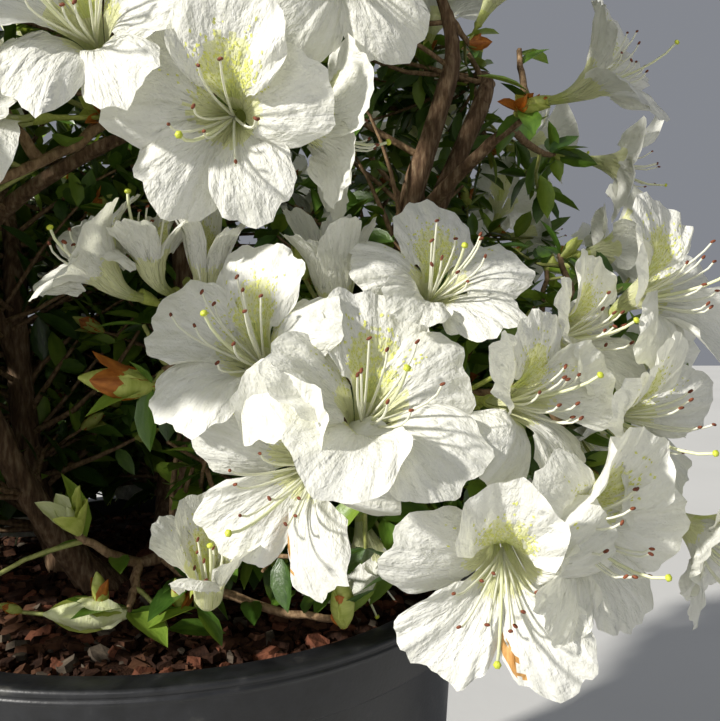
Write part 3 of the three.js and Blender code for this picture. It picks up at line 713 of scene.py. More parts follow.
def lengths_along(path):
    return np.concatenate([[0], np.cumsum(np.linalg.norm(np.diff(path, axis=0), axis=1))])


def tube(path, radii, sides):
    """Rings of points round a path, and where each lies round and along it."""
    path, radii = np.asarray(path), np.broadcast_to(radii, (len(path),))
    run = np.gradient(path, axis=0)
    run /= np.linalg.norm(run, axis=1)[:, None]
    side = vec(0.31, 0.77, 0.56)
    turns = 2 * math.pi * np.arange(sides) / sides
    rings = []
    for centre, along, radius in zip(path, run, radii):
        side = unit(side - along * side.dot(along))
        other = np.cross(along, side)
        rings.append(centre + radius * (np.outer(np.cos(turns), side) + np.outer(np.sin(turns), other)))
    shares = np.meshgrid(lengths_along(path) * 0.1, np.arange(sides) / sides, indexing="ij")
    return np.array(rings), np.stack(shares[::-1], axis=-1)


def add_tube(piece, path, radii, sides, slots=0):
    rings, places = tube(path, radii, sides)
    piece.add_rings(rings, sides, places, slots)


def ball(rows, columns):
    """Points of a unit ball with its poles on Z, and its faces."""
    lift = np.pi * (np.arange(rows + 1) / rows - 0.5)
    turn = 2 * np.pi * np.arange(columns) / columns
    lift, turn = np.meshgrid(lift, turn, indexing="ij")
    points = np.stack([np.cos(lift) * np.cos(turn), np.cos(lift) * np.sin(turn), np.sin(lift)], axis=-1)
    return points.reshape(-1, 3), grid_faces(rows + 1, columns, closed=True)


def add_ball(piece, shape, centre, along, radius, length):
    points, faces = shape
    first, second = basis_of(along)
    piece.add(centre + points @ np.array([first * radius, second * radius, along * length]), faces)


# Materials: each is worked out by nodes from the place on the surface (UV) or in the frame (Object)
def colour(value):
    """Linear colour from sRGB values of 0 to 255."""
    return tuple((c / 255) ** 2.2 for c in value) + (1,)


def tones(dark, pale):
    return [(0.3, dark), (0.7, pale)]


class Look:
    """One material and its nodes, which read the place on the surface or in the frame."""

    def __init__(self, name, space):
        self.material = bpy.data.materials.new(name)
        self.material.use_nodes = True
        self.nodes = self.material.node_tree.nodes
        self.links = self.material.node_tree.links
        self.shader = self.nodes["Principled BSDF"]
        self.space = space

    def set(self, node, **values):
        """Constants on a node's inputs by their names, with _ for a space."""
        for name, value in values.items():
            node.inputs[name.replace("_", " ")].default_value = value

    def add_texture(self, kind, stretch):
        place = self.nodes.new("ShaderNodeTexCoord")
        mapping = self.nodes.new("ShaderNodeMapping")
        texture = self.nodes.new(kind)
        self.set(mapping, Scale=stretch)
        self.links.new(place.outputs[self.space], mapping.inputs["Vector"])
        self.links.new(mapping.outputs["Vector"], texture.inputs["Vector"])
        return texture

    def add_noise(self, scale, detail, stretch, roughness=0.55):
        texture = self.add_texture("ShaderNodeTexNoise", stretch)
        self.set(texture, Scale=scale, Detail=detail, Roughness=roughness)
        return texture.outputs["Fac"]

    def add_cells(self, stretch):
        """Rounded cells between fine furrows."""
        texture = self.add_texture("ShaderNodeTexVoronoi", stretch)
        texture.feature = "SMOOTH_F1"
        self.set(texture, Scale=1.0)
        return texture.outputs["Distance"]

    def add_tint(self, value, stops):
        ramp = self.nodes.new("ShaderNodeValToRGB")
        elements = ramp.color_ramp.elements
        while len(elements) < len(stops):
            elements.new(0.5)
        for element, (position, rgb) in zip(elements, stops):
            element.position = position
            element.color = colour(rgb)
        self.links.new(value, ramp.inputs["Fac"])
        self.links.new(ramp.outputs["Color"], self.shader.inputs["Base Color"])

    def add_bump(self, height, distance, strength=1.0, under=None):
        """Relief over the one under it; the last one made is the surface's."""
        bump = self.nodes.new("ShaderNodeBump")
        self.set(bump, Strength=strength, Distance=distance * MM)
        self.links.new(height, bump.inputs["Height"])
        if under is not None:
            self.links.new(under, bump.inputs["Normal"])
        self.links.new(bump.outputs["Normal"], self.shader.inputs["Normal"])
        return bump.outputs["Normal"]

    def let_through(self, share, tint, normal):
        """Light of a tint that shines through from behind."""
        translucent = self.nodes.new("ShaderNodeBsdfTranslucent")
        blend = self.nodes.new("ShaderNodeMixShader")
        self.set(translucent, Color=colour(tint))
        self.set(blend, Fac=share)
        self.links.new(normal, translucent.inputs["Normal"])
        self.links.new(self.shader.outputs["BSDF"], blend.inputs[1])
        self.links.new(translucent.outputs["BSDF"], blend.inputs[2])
        self.links.new(blend.outputs["Shader"], self.nodes["Material Output"].inputs["Surface"])


def mottled(name, stops, space, scale, *, relief, roughness, specular=0.4, stretch=(1, 1, 1),
            relief_scale=None, detail=4, rough_range=0.0, through=None):
    """A surface whose colour and relief follow two noises; through is a share of light and its tint."""
    look = Look(name, space)
    tone = look.add_noise(scale, detail, stretch)
    look.add_tint(tone, stops)
    look.set(look.shader, Specular_IOR_Level=specular, Roughness=roughness)
    if rough_range:
        spread = look.nodes.new("ShaderNodeMapRange")
        look.set(spread, To_Min=roughness - rough_range, To_Max=roughness + rough_range)
        look.links.new(tone, spread.inputs["Value"])
        look.links.new(spread.outputs["Result"], look.shader.inputs["Roughness"])
    fine = look.add_noise(relief_scale or scale * 2.5, 3, stretch)
    normal = look.add_bump(fine, relief)
    if through:
        look.let_through(*through, normal)
    return look.material


VEIN_STRETCH = (22, 3.2, 1)
CRINKLE_STRETCH = (10, 8, 1)
CELL_STRETCH = (17, 8, 1)


def petal_material(name, pale, deep, through_tint):
    """Thin petal: fine veins run out from the throat, with a crinkle between them."""
    look = Look(name, "UV")
    veins = look.add_noise(1.0, 3, VEIN_STRETCH)
    look.add_tint(veins, [(0.3, deep), (0.62, pale)])
    look.set(look.shader, Roughness=0.5, Specular_IOR_Level=0.32, Sheen_Weight=0.15)
    crinkle = look.add_noise(1.0, 4, CRINKLE_STRETCH, 0.6)
    normal = look.add_bump(crinkle, 2.6, 0.8)
    normal = look.add_bump(look.add_cells(CELL_STRETCH), 1.0, 0.6, normal)
    normal = look.add_bump(veins, 1.0, 0.7, normal)
    look.let_through(0.3, through_tint, normal)
    return look.material


PETALS = [
    petal_material("petal_white", (244, 244, 238), (232, 232, 222), (240, 240, 218)),
    petal_material("petal_cream", (241, 242, 202), (231, 233, 168), (238, 240, 170)),
    petal_material("petal_pale_green", (236, 240, 190), (222, 229, 156), (230, 236, 160)),
    petal_material("petal_throat", (226, 233, 152), (206, 216, 118), (216, 226, 120)),
    petal_material("petal_spent", (222, 176, 112), (186, 128, 66), (214, 160, 96)),
]
WHITE, CREAM, PALE_GREEN, THROAT, SPENT = range(5)


# Blossoms: five ruffled lobes that flare from a tube, worked out in shares of the mouth's radius. FREE is
# where along a lobe it parts from its neighbours, and RIM where its wavy rim is
REACH_POWER = 1.75
TUBE_RADIUS = 0.055
TUBE_DEPTH = 0.98
TUBE_POWER = 2.1
TUBE_TOP = 0.42
TUBE_LENGTH = 0.6
LOBE_HALF = math.radians(36)
FREE = (0.34, 0.8)
RIM = (0.62, 1.0)
LOBE_DROOP = (-0.28, 0.12)
TOP_DROOP = (-0.12, 0.12)
LOBE_DRAWS = {"cup": (-0.2, 0.16), "wide": (math.radians(1), math.radians(16)), "size": (0.95, 1.03),
              "swell": (0.02, 0.075)}
OVERLAP_LIFT = 0.062
ROUNDING = 0.33
ROUNDING_POWER = 2.7
CALM = 0.4
WOBBLES = ((0.022, 5), (0.016, 11), (0.011, 21))
SWAY = 0.03
WAVES = (1.4, 2.3, 3.7, 5.6)
FRILLS = (6.7, 9.1)
FRILL = 0.017
MIDRIB = 0.035
MIDRIB_HALF = 0.14
VEIN = 0.004
VEINS = 4.5
CREASES = 9
CREASE = 0.03
NEAR_GRID = (41, 37)
SIDE_GRID = (31, 27)
FAR_GRID = (13, 10)

# Placed blossoms that differ a little from their plain solids, by the truss and the blossom's number in
# it: centre, turn, lift, roll, width and openness
TUNED = {
    (0, 0): (116, -210, 418, 18, 36, 4, 84, 1),
    (0, 1): (81, -204, 386, -30, -6, 16, 86, 1),
    (2, 0): (65, -196, 436, -26, 34, -4, 80, 1),
    (4, 0): (155, -213, 351, -14, -13, 0, 86, 1),
    (4, 1): (195, -202, 367, 32, 0, 14, 82, 1),
    (10, 0): (62, -205, 508, -4, -14, 8, 80, 1),
    (12, 0): (51, -172, 345, 14, 62, -10, 64, 0.5),
}

# How far each lobe bends forward, and how far it reaches past its fifth, in degrees, from the top one
# round to the left
LOBE_SHAPES = {
    (0, 0): ((-0.02, 0.04, -0.04, -0.08, -0.1), (15, 15, 12, 12, 13)),
    (0, 1): ((0.12, 0.02, -0.06, -0.1, -0.45), (12, 12, 2, -3, 12)),
    (2, 0): ((0, -0.02, -0.12, -0.3, -0.2), (16, 14, 10, 8, 8)),
    (4, 0): ((0.14, 0.02, -0.02, -0.02, -0.5), (8, 10, 4, 4, -2)),
    (10, 0): ((-0.05, -0.1, -0.12, -0.08, -0.12), (14, 14, 8, 8, 14)),
}
DRAWN_SHAPE = ((), ())

# The lobes with a browned patch on their edge, and where it lies in shares across and along
SPENT_LOBES = {(4, 0): 3, (0, 1): 3}
SPENT_BEYOND = -0.6
SPENT_ALONG = (0.82, 0.96)


class Corolla:
    """One blossom's surface: where a share across and along a lobe lies."""

    def __init__(self, blossom, number, shape):
        rng = draws_of("corolla", number)
        self.b = blossom
        self.radius = blossom["width"] / 2
        self.axes = np.array([blossom["side"], blossom["up"], blossom["facing"]])
        self.calm = CALM + (1 - CALM) * blossom["open"]
        top = vec(0, 0, -TUBE_TOP)
        self.foot = self.axes @ (blossom["foot"] - blossom["centre"]) / self.radius
        reach = np.linalg.norm(self.foot - top)
        length = min(TUBE_LENGTH, 0.62 * reach)
        self.base = top + (self.foot - top) / reach * length
        self.tube = (top, top - vec(0, 0, length * 0.5), self.base)
        over = [1, rng.choice([-1, 1]), rng.choice([-1, 1]), rng.choice([-1, 1]), -1]
        self.lobes = [self.draw_lobe(rng, lobe, over) for lobe in range(LOBES)]
        for lobe, droop, wide in zip(self.lobes, *shape):
            lobe["droop"], lobe["wide"] = droop, math.radians(wide)

    def draw_lobe(self, rng, number, over):
        return {
            "droop": rng.uniform(*(LOBE_DROOP if number else TOP_DROOP)),
            "angle": math.radians(90 + 360 / LOBES * number) + rng.normal(0, 0.05),
            "left": over[number], "right": -over[number - 1],
            "twist": rng.normal(0, 0.06),
            **{name: rng.uniform(*pair) for name, pair in LOBE_DRAWS.items()},
            "waves": rng.uniform(0.3, 1.0, len(WAVES)), "phases": rng.uniform(0, 2 * math.pi, len(WAVES)),
            "folds": rng.uniform(0, 2 * math.pi, (CREASES, 1, 1)),
            "lean": rng.uniform(-1, 1, (CREASES, 1, 1)),
            "frills": rng.uniform(0.4, 1.0, len(FRILLS)),
        }

    def along_tube(self, depth):
        """Centre and two cross directions of the tube at each depth behind the mouth."""
        t = np.clip((depth - TUBE_TOP) / (TUBE_DEPTH - TUBE_TOP), 0, 1)
        centre = bezier(self.tube, t)
        run = ((self.tube[1] - self.tube[0]) * (1 - t)[..., None]
               + (self.tube[2] - self.tube[1]) * t[..., None])
        run = run / np.linalg.norm(run, axis=-1, keepdims=True)
        first = vec(1, 0, 0) - run * run[..., :1]
        first = first / np.linalg.norm(first, axis=-1, keepdims=True)
        second = np.cross(first, run)
        in_tube = (t > 0)[..., None]
        return (np.where(in_tube, centre, 0), np.where(in_tube, first, vec(1, 0, 0)),
                np.where(in_tube, second, vec(0, 1, 0)))

    def reach(self, lobe, a, v):
        """How far out towards the rim a point lies, with the lobe's round and wavy outline."""
        free, rim = smooth(v, *FREE), smooth(v, *RIM)
        wobble = self.calm * sum(size * np.sin(k * a + phase)
                                 for (size, k), phase in zip(WOBBLES, lobe["phases"]))
        outline = ROUNDING * abs(a) ** ROUNDING_POWER - wobble * rim
        return v * (1 - free * outline) * (1 + (lobe["size"] - 1) * free)

    def lift(self, lobe, a, v):
        """How far a point stands off the plain funnel: bend, overlap, waves, midrib, veins and frills."""
        free, edge = smooth(v, *FREE), abs(a)
        side = np.where(a < 0, lobe["right"], lobe["left"])
        lift = lobe["droop"] * np.maximum(0, v - 0.4) ** 2 / 0.36
        lift = lift + lobe["twist"] * a * free + lobe["cup"] * a * a * free * v
        lift = lift + OVERLAP_LIFT * side * smooth(edge, 0.25, 0.95) * smooth(v, 0.28, 0.55)
        for k, size, phase in zip(WAVES, lobe["waves"], lobe["phases"]):
            swell = self.calm * lobe["swell"] * size / (1 + 0.25 * k)
            lift = lift + (swell * smooth(v, 0.42, 1.0) * (0.35 + 0.65 * edge)
                           * np.sin(k * math.pi * a + phase + 1.7 * v))
        lift = lift - MIDRIB * np.exp(-(a / MIDRIB_HALF) ** 2) * smooth(v, 0.2, 0.5) * (1.1 - v)
        lift = lift + VEIN * np.cos(2 * math.pi * a * VEINS) * smooth(v, 0.3, 0.6) * (1.15 - v)
        for k, size, phase in zip(FRILLS, lobe["frills"], lobe["phases"]):
            frill = self.calm * FRILL * size * smooth(v, 0.72, 1.0)
            lift = lift + frill * np.sin(k * math.pi * a + 2 * phase)
        return lift + CREASE * self.creases(lobe, a, v) * smooth(v, 0.3, 0.72)

    def creases(self, lobe, a, v):
        """Crisp ridges where a sum of slanting waves changes sign, about nought on the whole."""
        across, along = np.atleast_2d(a), np.atleast_2d(v)
        steps = np.arange(CREASES).reshape(CREASES, 1, 1)
        weights = 1 / (1 + 0.3 * steps)
        waves = np.sin(across * (0.5 + 0.5 * along) * (6 + 2.4 * steps)
                       + along * (10 + 6.5 * steps) * lobe["lean"] + lobe["folds"])
        height = (waves * weights).sum(0) / weights.sum()
        return (0.2 - abs(height)).reshape(np.shape(a))

    def surface(self, number, across, along):
        """Points for shares across (-1 to 1) and along (0 to 1) a lobe, in the frame."""
        lobe = self.lobes[number]
        a, v = np.asarray(across, dtype=float), np.asarray(along, dtype=float)
        reach = self.reach(lobe, a, v)
        half = LOBE_HALF + lobe["wide"] * smooth(v, 0.3, 0.68)
        angle = lobe["angle"] + a * half + SWAY * smooth(v, *RIM) * np.sin(3 * v + lobe["phases"][2])
        out = TUBE_RADIUS + (1 - TUBE_RADIUS) * reach ** REACH_POWER
        height = -TUBE_DEPTH * (1 - np.minimum(reach, 1)) ** TUBE_POWER
        in_tube = height < -TUBE_TOP
        spread = spread_of(self.b)
        out = out * np.where(in_tube, 1, 1 - (1 - spread) * smooth(out, 0.15, 0.6))
        rise = (1 - self.b["open"]) * CUP * out / spread
        centre, first, second = self.along_tube(np.where(in_tube, -height, 0))
        turned = first * (np.cos(angle) * out)[..., None] + second * (np.sin(angle) * out)[..., None]
        above = np.where(in_tube, 0, height + rise) + self.lift(lobe, a, v)
        return self.to_frame(centre + turned + above[..., None] * vec(0, 0, 1))

    def to_frame(self, local):
        return self.b["centre"] + self.radius * (np.asarray(local) @ self.axes)


BLOTCH = {0: 0.34, 1: 0.08, 4: 0.08}
THROAT_ENDS, GREEN_ENDS, CREAM_ENDS = 0.13, 0.22, 0.41


def petal_slots(across, along, lobe, rng, spent):
    """Colours by how far out a face is: green throat, a pale blotch on the top lobes, then white."""
    drift = rng.uniform(-0.035, 0.035, across.shape)
    place = along + drift - BLOTCH.get(lobe, 0) * (1 - across ** 2) * (along > 0.3)
    low, high = SPENT_ALONG
    browned = spent & (across < SPENT_BEYOND + 2 * drift) & (along > low + drift) & (along < high)
    return np.select([browned, place < THROAT_ENDS, place < GREEN_ENDS, place < CREAM_ENDS],
                     [SPENT, THROAT, PALE_GREEN, CREAM], WHITE)


def add_petals(piece, corolla, grid, number, spent_lobe=None):
    rows, columns = grid
    rng = draws_of("petals", number)
    along = np.linspace(0, 1, rows) ** 0.82
    across = np.sin(np.linspace(-1, 1, columns) * math.pi / 2 * 0.86) / math.sin(math.pi / 2 * 0.86)
    v, a = np.meshgrid(along, across, indexing="ij")
    faces = grid_faces(rows, columns)
    middle_v = (v[:-1, :-1] + v[1:, 1:]) / 2
    middle_a = (a[:-1, :-1] + a[1:, 1:]) / 2
    for lobe in range(LOBES):
        slots = petal_slots(middle_a, middle_v, lobe, rng, lobe == spent_lobe).ravel()
        shift = rng.randint(0, 60, 2)
        places = np.stack([(a + 1) / 2 + shift[0], v + shift[1]], axis=-1)
        piece.add(corolla.surface(lobe, a, v), faces, places, slots)


# Flecks: the lobes that carry them, with each one's share of them and where they start and end across it
FLECKED = ((0, 0.74, -0.8, 0.8), (1, 0.13, -0.95, -0.3), (4, 0.13, 0.3, 0.95))
FLECK_HEIGHT = 0.16
NEAR_FLECKS = 420
FAR_FLECKS = 70


def add_flecks(piece, corolla, count, number):
    """Raised slivers along the veins of the top lobe and the near halves of its neighbours."""
    rng = draws_of("flecks", number)
    for lobe, share, low, high in FLECKED:
        size = int(count * share)
        a = rng.uniform(low, high, size)
        v = np.clip(0.6 + 0.12 * rng.randn(size) - 0.1 * a * a, 0.36, 0.86)
        long = rng.uniform(0.006, 0.017, size)
        wide = rng.uniform(0.01, 0.02, size) / np.maximum(v, 0.4)
        corners = [(a, v - long), (a + wide, v), (a, v + long), (a - wide, v)]
        points = np.stack([corolla.surface(lobe, x[:, None], y[:, None])[:, 0] for x, y in corners], axis=1)
        normal = np.cross(points[:, 2] - points[:, 0], points[:, 1] - points[:, 3])
        normal /= np.linalg.norm(normal, axis=1)[:, None] + 1e-9
        normal *= np.sign(normal @ corolla.b["facing"])[:, None]
        points = points + normal[:, None] * FLECK_HEIGHT
        piece.add(points, np.arange(4 * size).reshape(-1, 4))


# Stamens: near and far blossoms differ in the steps and sides of a filament and in the anthers' faces
NEAR_STAMENS = {"steps": 9, "sides": 5, "thicker": 1, "ball": ball(5, 6)}
FAR_STAMENS = {"steps": 5, "sides": 3, "thicker": 1.25, "ball": ball(3, 5)}
STYLE_RADIUS = (0.7, 0.56)
FILAMENT_RADIUS = (0.58, 0.4)
ANTHER = (0.62, 1.1)
STIGMA = (1.35, 1.0)


def add_stamens(pieces, corolla, near, number):
    """Filaments that rise from the tube and bend up at their ends, and one longer style."""
    rng = draws_of("stamens", number)
    detail = NEAR_STAMENS if near else FAR_STAMENS
    count = rng.randint(8, 11) if near else 6
    t = np.linspace(0, 1, detail["steps"])[:, None]
    spin = rng.uniform(0, 2 * math.pi)
    start = bezier(corolla.tube, 0.4)
    for i in range(count + 1):
        is_style = i == count
        turn = spin + 2 * math.pi * i / count + rng.normal(0, 0.25)
        lateral = (rng.uniform(0.16, 0.42) if not is_style else 0.22) * (0.5 + 0.5 * corolla.b["open"])
        rise = rng.uniform(0.08, 0.38) if not is_style else rng.uniform(0.46, 0.64)
        if is_style:
            turn = -math.pi / 2 + rng.normal(0, 0.7)
        way = vec(math.cos(turn), math.sin(turn), 0)
        end = way * lateral + vec(0, 0.02, rise)
        first = start + (vec(0, 0, -0.3) + way * 0.07 - start) * 0.6
        second = way * lateral * 0.95 + vec(0, -0.14, rise * 0.45)
        path = corolla.to_frame((1 - t) ** 3 * start + 3 * t * (1 - t) ** 2 * first
                                + 3 * t * t * (1 - t) * second + t ** 3 * end)
        along = unit(path[-1] - path[-2])
        radius = np.linspace(*(STYLE_RADIUS if is_style else FILAMENT_RADIUS), detail["steps"])
        add_tube(pieces["filaments"], path, radius * detail["thicker"], detail["sides"], int(is_style))
        if is_style:
            add_ball(pieces["stigmas"], detail["ball"], path[-1] + along * 0.4, along, *STIGMA)
        else:
            across = unit(np.cross(along, corolla.b["facing"]) + 0.6 * along + rng.normal(0, 0.3, 3))
            add_ball(pieces["anthers"], detail["ball"], path[-1] + along * 0.3, across, *ANTHER)


# A stalk's shares from foot to calyx and past it, with the radius at each
STALK_SHARES = ((0, 1.15), (0.5, 1.05), (0.82, 1.2), (0.93, 2.2), (1, 2.7), (1.09, 2.75))
STALK_SIDES = 7


def add_stalk(piece, corolla):
    """A green stalk that ends in a small calyx round the tube's foot."""
    shares, radii = zip(*STALK_SHARES)
    path = corolla.foot + np.outer(shares, corolla.base - corolla.foot)
    add_tube(piece, corolla.to_frame(path), radii, STALK_SIDES)


# Leaves and bud scales share one form: a blade, cupped across and bent down or up along its length
def add_blades(piece, blades, rows, columns, slots, cup, droop, widest, ruffle=0.0):
    """blades: rows of base, along, across, length and width."""
    base, along, across, length, width = (np.array(part, dtype=float) for part in zip(*blades))
    u, w = np.meshgrid(np.linspace(0, 1, rows), np.linspace(-1, 1, columns), indexing="ij")
    power = math.log(0.5) / math.log(widest)
    outline = np.maximum(np.sin(math.pi * u ** power), 0) ** 0.72 * (1 - 0.06 * u) + 0.05 * (1 - u)
    normal = np.cross(along, across)
    size = length[:, None, None]
    half = width[:, None, None] / 2
    lift = cup * half * (abs(w) ** 1.6) * outline - size * droop * u * u
    lift = lift + ruffle * half * np.sin(9 * u * math.pi + 2 * w) * abs(w) * outline
    points = (base[:, None, None] + along[:, None, None] * (u * size)[..., None]
              + across[:, None, None] * (outline * w * half)[..., None]
              + normal[:, None, None] * lift[..., None])
    number = np.arange(len(base))
    faces = grid_faces(rows, columns)[None] + (number * rows * columns)[:, None, None]
    shift = np.stack([number % 40, number // 40], axis=-1)
    places = np.stack([w * 0.5 + 0.5, u], axis=-1)[None] + shift[:, None, None]
    piece.add(points, faces.reshape(-1, 4), places, np.repeat(slots, (rows - 1) * (columns - 1)))


def rolled_across(along, roll):
    """The direction across a blade that lies face up, rolled about its own length."""
    flat = np.cross(UP, along)
    across = unit(flat) if np.linalg.norm(flat) > 0.1 else vec(1, 0, 0)
    return across * math.cos(roll) + np.cross(along, across) * math.sin(roll)


# Looks of leaves: dark and pale tone, roughness, specular, and the light that shines through
LEAF_LOOKS = {
    "leaf_deep": ((38, 62, 24), (66, 94, 38), 0.36, 0.55, (0.16, (122, 150, 44))),
    "leaf_mid": ((58, 88, 32), (92, 122, 48), 0.36, 0.55, (0.2, (140, 166, 52))),
    "leaf_fresh": ((98, 128, 46), (134, 158, 66), 0.4, 0.5, (0.24, (170, 190, 70))),
}
LEAF_SHARES = (0.34, 0.42, 0.24)
LEAF_MATERIALS = [
    mottled(name, tones(dark, pale), "UV", 3, relief=0.25, roughness=rough, specular=specular,
            rough_range=0.08, through=through)
    for name, (dark, pale, rough, specular, through) in LEAF_LOOKS.items()]
GREEN, BROWN, PALE = range(3)
SCALE_MATERIALS = [
    mottled("scale_green", tones((152, 164, 72), (194, 200, 112)), "UV", 4, relief=0.2, roughness=0.45,
            through=(0.22, (190, 200, 90))),
    mottled("scale_brown", [(0.25, (116, 58, 22)), (0.7, (198, 124, 54))], "UV", 4, relief=0.3,
            roughness=0.5, through=(0.2, (210, 120, 40))),
    mottled("scale_pale", tones((206, 212, 150), (232, 234, 196)), "UV", 4, relief=0.3, roughness=0.5,
            through=(0.25, (226, 232, 160))),
]
BARK = mottled("bark_stem", [(0.25, (58, 43, 32)), (0.5, (98, 78, 60)), (0.75, (142, 122, 98))], "Object",
               420, stretch=(1, 1, 0.22), roughness=0.85, specular=0.2, relief=0.9, relief_scale=700)
TWIG_BARK = mottled("bark_twig", tones((82, 62, 44), (146, 122, 94)), "Object", 500,
                    stretch=(1, 1, 0.5), roughness=0.8, specular=0.2, relief=0.4, relief_scale=900)
GREEN_TWIG = mottled("twig_green", tones((104, 112, 58), (148, 150, 88)), "Object", 400,
                     roughness=0.6, relief=0.2)

# Twigs and leaves: a twig is kept as its path, its radius at foot and tip, how much thicker it is and its
# look
WOODY, FRESH = range(2)
TRUSS_TWIG_RADIUS = (2.5, 1.7)
TRUSS_TWIG_STEPS = 9
WHORL = (4, 7)
WHORL_TILT = (42, 84)
FOOT_TILT = (50, 92)
PLACED_FOOT_TILT = (74, 112)
SHOOT_LEAVES = (2, 5)
SHOOT_LEAF_TILT = (40, 75)
SIDE_SHARES = (0.4, 0.62, 0.86)
SIDE_LENGTH = (24, 56)
SIDE_TILT = (35, 65)
SIDE_RADIUS = (1.3, 0.9)
LIFE_SHARE = 0.74
LIFE_WIDTH = 0.45
TWIG_LEAF = (16, 29)
TWIG_LEAF_WIDTH = (0.38, 0.5)
INNER_TRIES = 1300
INNER_LENGTH = (45, 120)
INNER_TILT = (35, 95)
INNER_DEPTH = 34
INNER_RADIUS = (2.1, 1.0)
INNER_BARE = 0.16
STEM_WEIGHT = 1.6
TWIG_SIDES = 5
TWIG_MARGIN = 2


def add_leaf(leaves, base, along, rng, depth, scale=1.0):
    """One leaf, where it stays in the crown, off the limbs and out of the open view."""
    length = rng.uniform(*TWIG_LEAF) * scale
    across = rolled_across(along, rng.normal(0, 0.45))
    width = length * rng.uniform(*TWIG_LEAF_WIDTH)
    tip = base + along * length
    pair = np.array([tip, (base + tip) / 2])
    if not is_open_view(pair) and is_inside(pair, depth) and clear_of_limbs(pair, 0.5):
        leaves.append((base, along, across, length, width))


def add_whorl(leaves, base, heading, rng, count, depth, tilt=WHORL_TILT):
    spin = rng.uniform(0, 2 * math.pi)
    for i in range(count):
        turn = spin + 2 * math.pi * i / count + rng.normal(0, 0.25)
        add_leaf(leaves, base, leaning(heading, turn, rng.uniform(*tilt)), rng, depth)


def bent_path(start, end, rng, steps, wander):
    t = np.linspace(0, 1, steps)[:, None]
    path = start + (end - start) * t
    side = rng.normal(0, 1, 3)
    path = path + np.sin(math.pi * t) * side * wander * np.linalg.norm(end - start)
    path[1:-1] += rng.normal(0, 0.35, (steps - 2, 3))
    return path


def grow_truss_twigs(truss, twigs, leaves, tips):
    rng = draws_of("truss_twigs", truss["number"])
    path = bezier(truss["curve"], np.linspace(0, 1, TRUSS_TWIG_STEPS))
    path[1:-1] += rng.normal(0, 0.5, (TRUSS_TWIG_STEPS - 2, 3))
    twigs.append((path, TRUSS_TWIG_RADIUS, 1, WOODY))
    heading = unit(unit(path[-1] - path[-3]) + truss["outward"])
    tilt = PLACED_FOOT_TILT if truss["placed"] is not None else FOOT_TILT
    add_whorl(leaves, truss["foot"], heading, rng, rng.randint(*WHORL), depth=2, tilt=tilt)
    for i in range(rng.randint(*SHOOT_LEAVES)):
        at = rng.uniform(0.3, 0.95)
        spin = SPIRAL * i + rng.uniform(0, 1)
        along = leaning(heading_of(truss["curve"], at), spin, rng.uniform(*SHOOT_LEAF_TILT))
        add_leaf(leaves, bezier(truss["curve"], at), along, rng, depth=4, scale=0.9)
    for share in SIDE_SHARES:
        spin = rng.uniform(0, 2 * math.pi)
        along = leaning(heading_of(truss["curve"], share), spin, rng.uniform(*SIDE_TILT))
        start = bezier(truss["curve"], share)
        end = start + along * rng.uniform(*SIDE_LENGTH)
        clear = is_inside(end[None], depth=16) and clear_of_limbs(end[None], TWIG_MARGIN)
        if clear and not is_open_view(end[None]):
            twigs.append((bent_path(start, end, rng, steps=6, wander=0.08), SIDE_RADIUS, 1, FRESH))
            add_whorl(leaves, end, along, rng, rng.randint(5, 8), depth=3)
            add_whorl(leaves, start + (end - start) * 0.55, along, rng, 3, depth=3)
            tips.append((end, along, rng.rand()))


def grow_inner_twigs(twigs, leaves, tips):
    """Twigs off the stems, boughs and the stems inside the masses, which fill the crown's inside."""
    rng = draws_of("inner_twigs")
    hosts = [(stem["curve"], 0.3) for stem in stems.values()] + [(mass["curve"], 0.1) for mass in masses]
    weights = np.array([STEM_WEIGHT] * len(stems) + [1.0] * len(masses))
    for _ in range(INNER_TRIES):
        curve, low = hosts[rng.choice(len(hosts), p=weights / weights.sum())]
        at = rng.uniform(low, 1.0)
        spin = rng.uniform(0, 2 * math.pi)
        along = unit(leaning(heading_of(curve, at), spin, rng.uniform(*INNER_TILT)) + UP * 0.25)
        start = bezier(curve, at)
        reach = rng.uniform(*INNER_LENGTH)
        end = start + along * reach
        probe = start + along * reach * np.array([[0.4], [0.7], [1.0]])
        thickness, fullness = rng.rand(2)
        if not is_inside(end[None], INNER_DEPTH) or is_open_view(probe):
            continue
        if not clear_of_limbs(probe[1:], TWIG_MARGIN):
            continue
        path = bent_path(start, end, rng, steps=7, wander=0.07)
        twigs.append((path, INNER_RADIUS, 0.7 + 0.4 * thickness, WOODY))
        if fullness < INNER_BARE:
            continue
        add_whorl(leaves, end, along, rng, rng.randint(6, 10), depth=8)
        for k in range(2, 6):
            add_whorl(leaves, path[k], along, rng, 2, depth=8)
        tips.append((end, along, rng.rand()))


# Low leafy twigs behind the stems, just above the pot's rim
LOW_TWIGS = 64
LOW_TURN = (math.radians(20), math.radians(200))
LOW_REACH = (85, 165)
LOW_HEIGHT = (314, 362)
LOW_DEPTH = -40
LOW_RADIUS = (1.9, 1.0)
LOW_SHARE = 0.22


def grow_low_twigs(twigs, leaves):
    rng = draws_of("low_twigs")
    bases = [bezier(stem["curve"], LOW_SHARE) for stem in stems.values()]
    for _ in range(LOW_TWIGS):
        turn = rng.uniform(*LOW_TURN)
        end = vec(math.cos(turn), math.sin(turn), 0) * rng.uniform(*LOW_REACH)
        end = end + UP * rng.uniform(*LOW_HEIGHT)
        start = min(bases, key=lambda base: np.linalg.norm(base - end))
        along = unit(end - start + UP * 20)
        path = bent_path(start, end, rng, steps=7, wander=0.07)
        twigs.append((path, LOW_RADIUS, 1, WOODY))
        add_whorl(leaves, end, along, rng, 8, LOW_DEPTH)
        for k in range(3, 6):
            add_whorl(leaves, path[k], along, rng, 3, LOW_DEPTH)


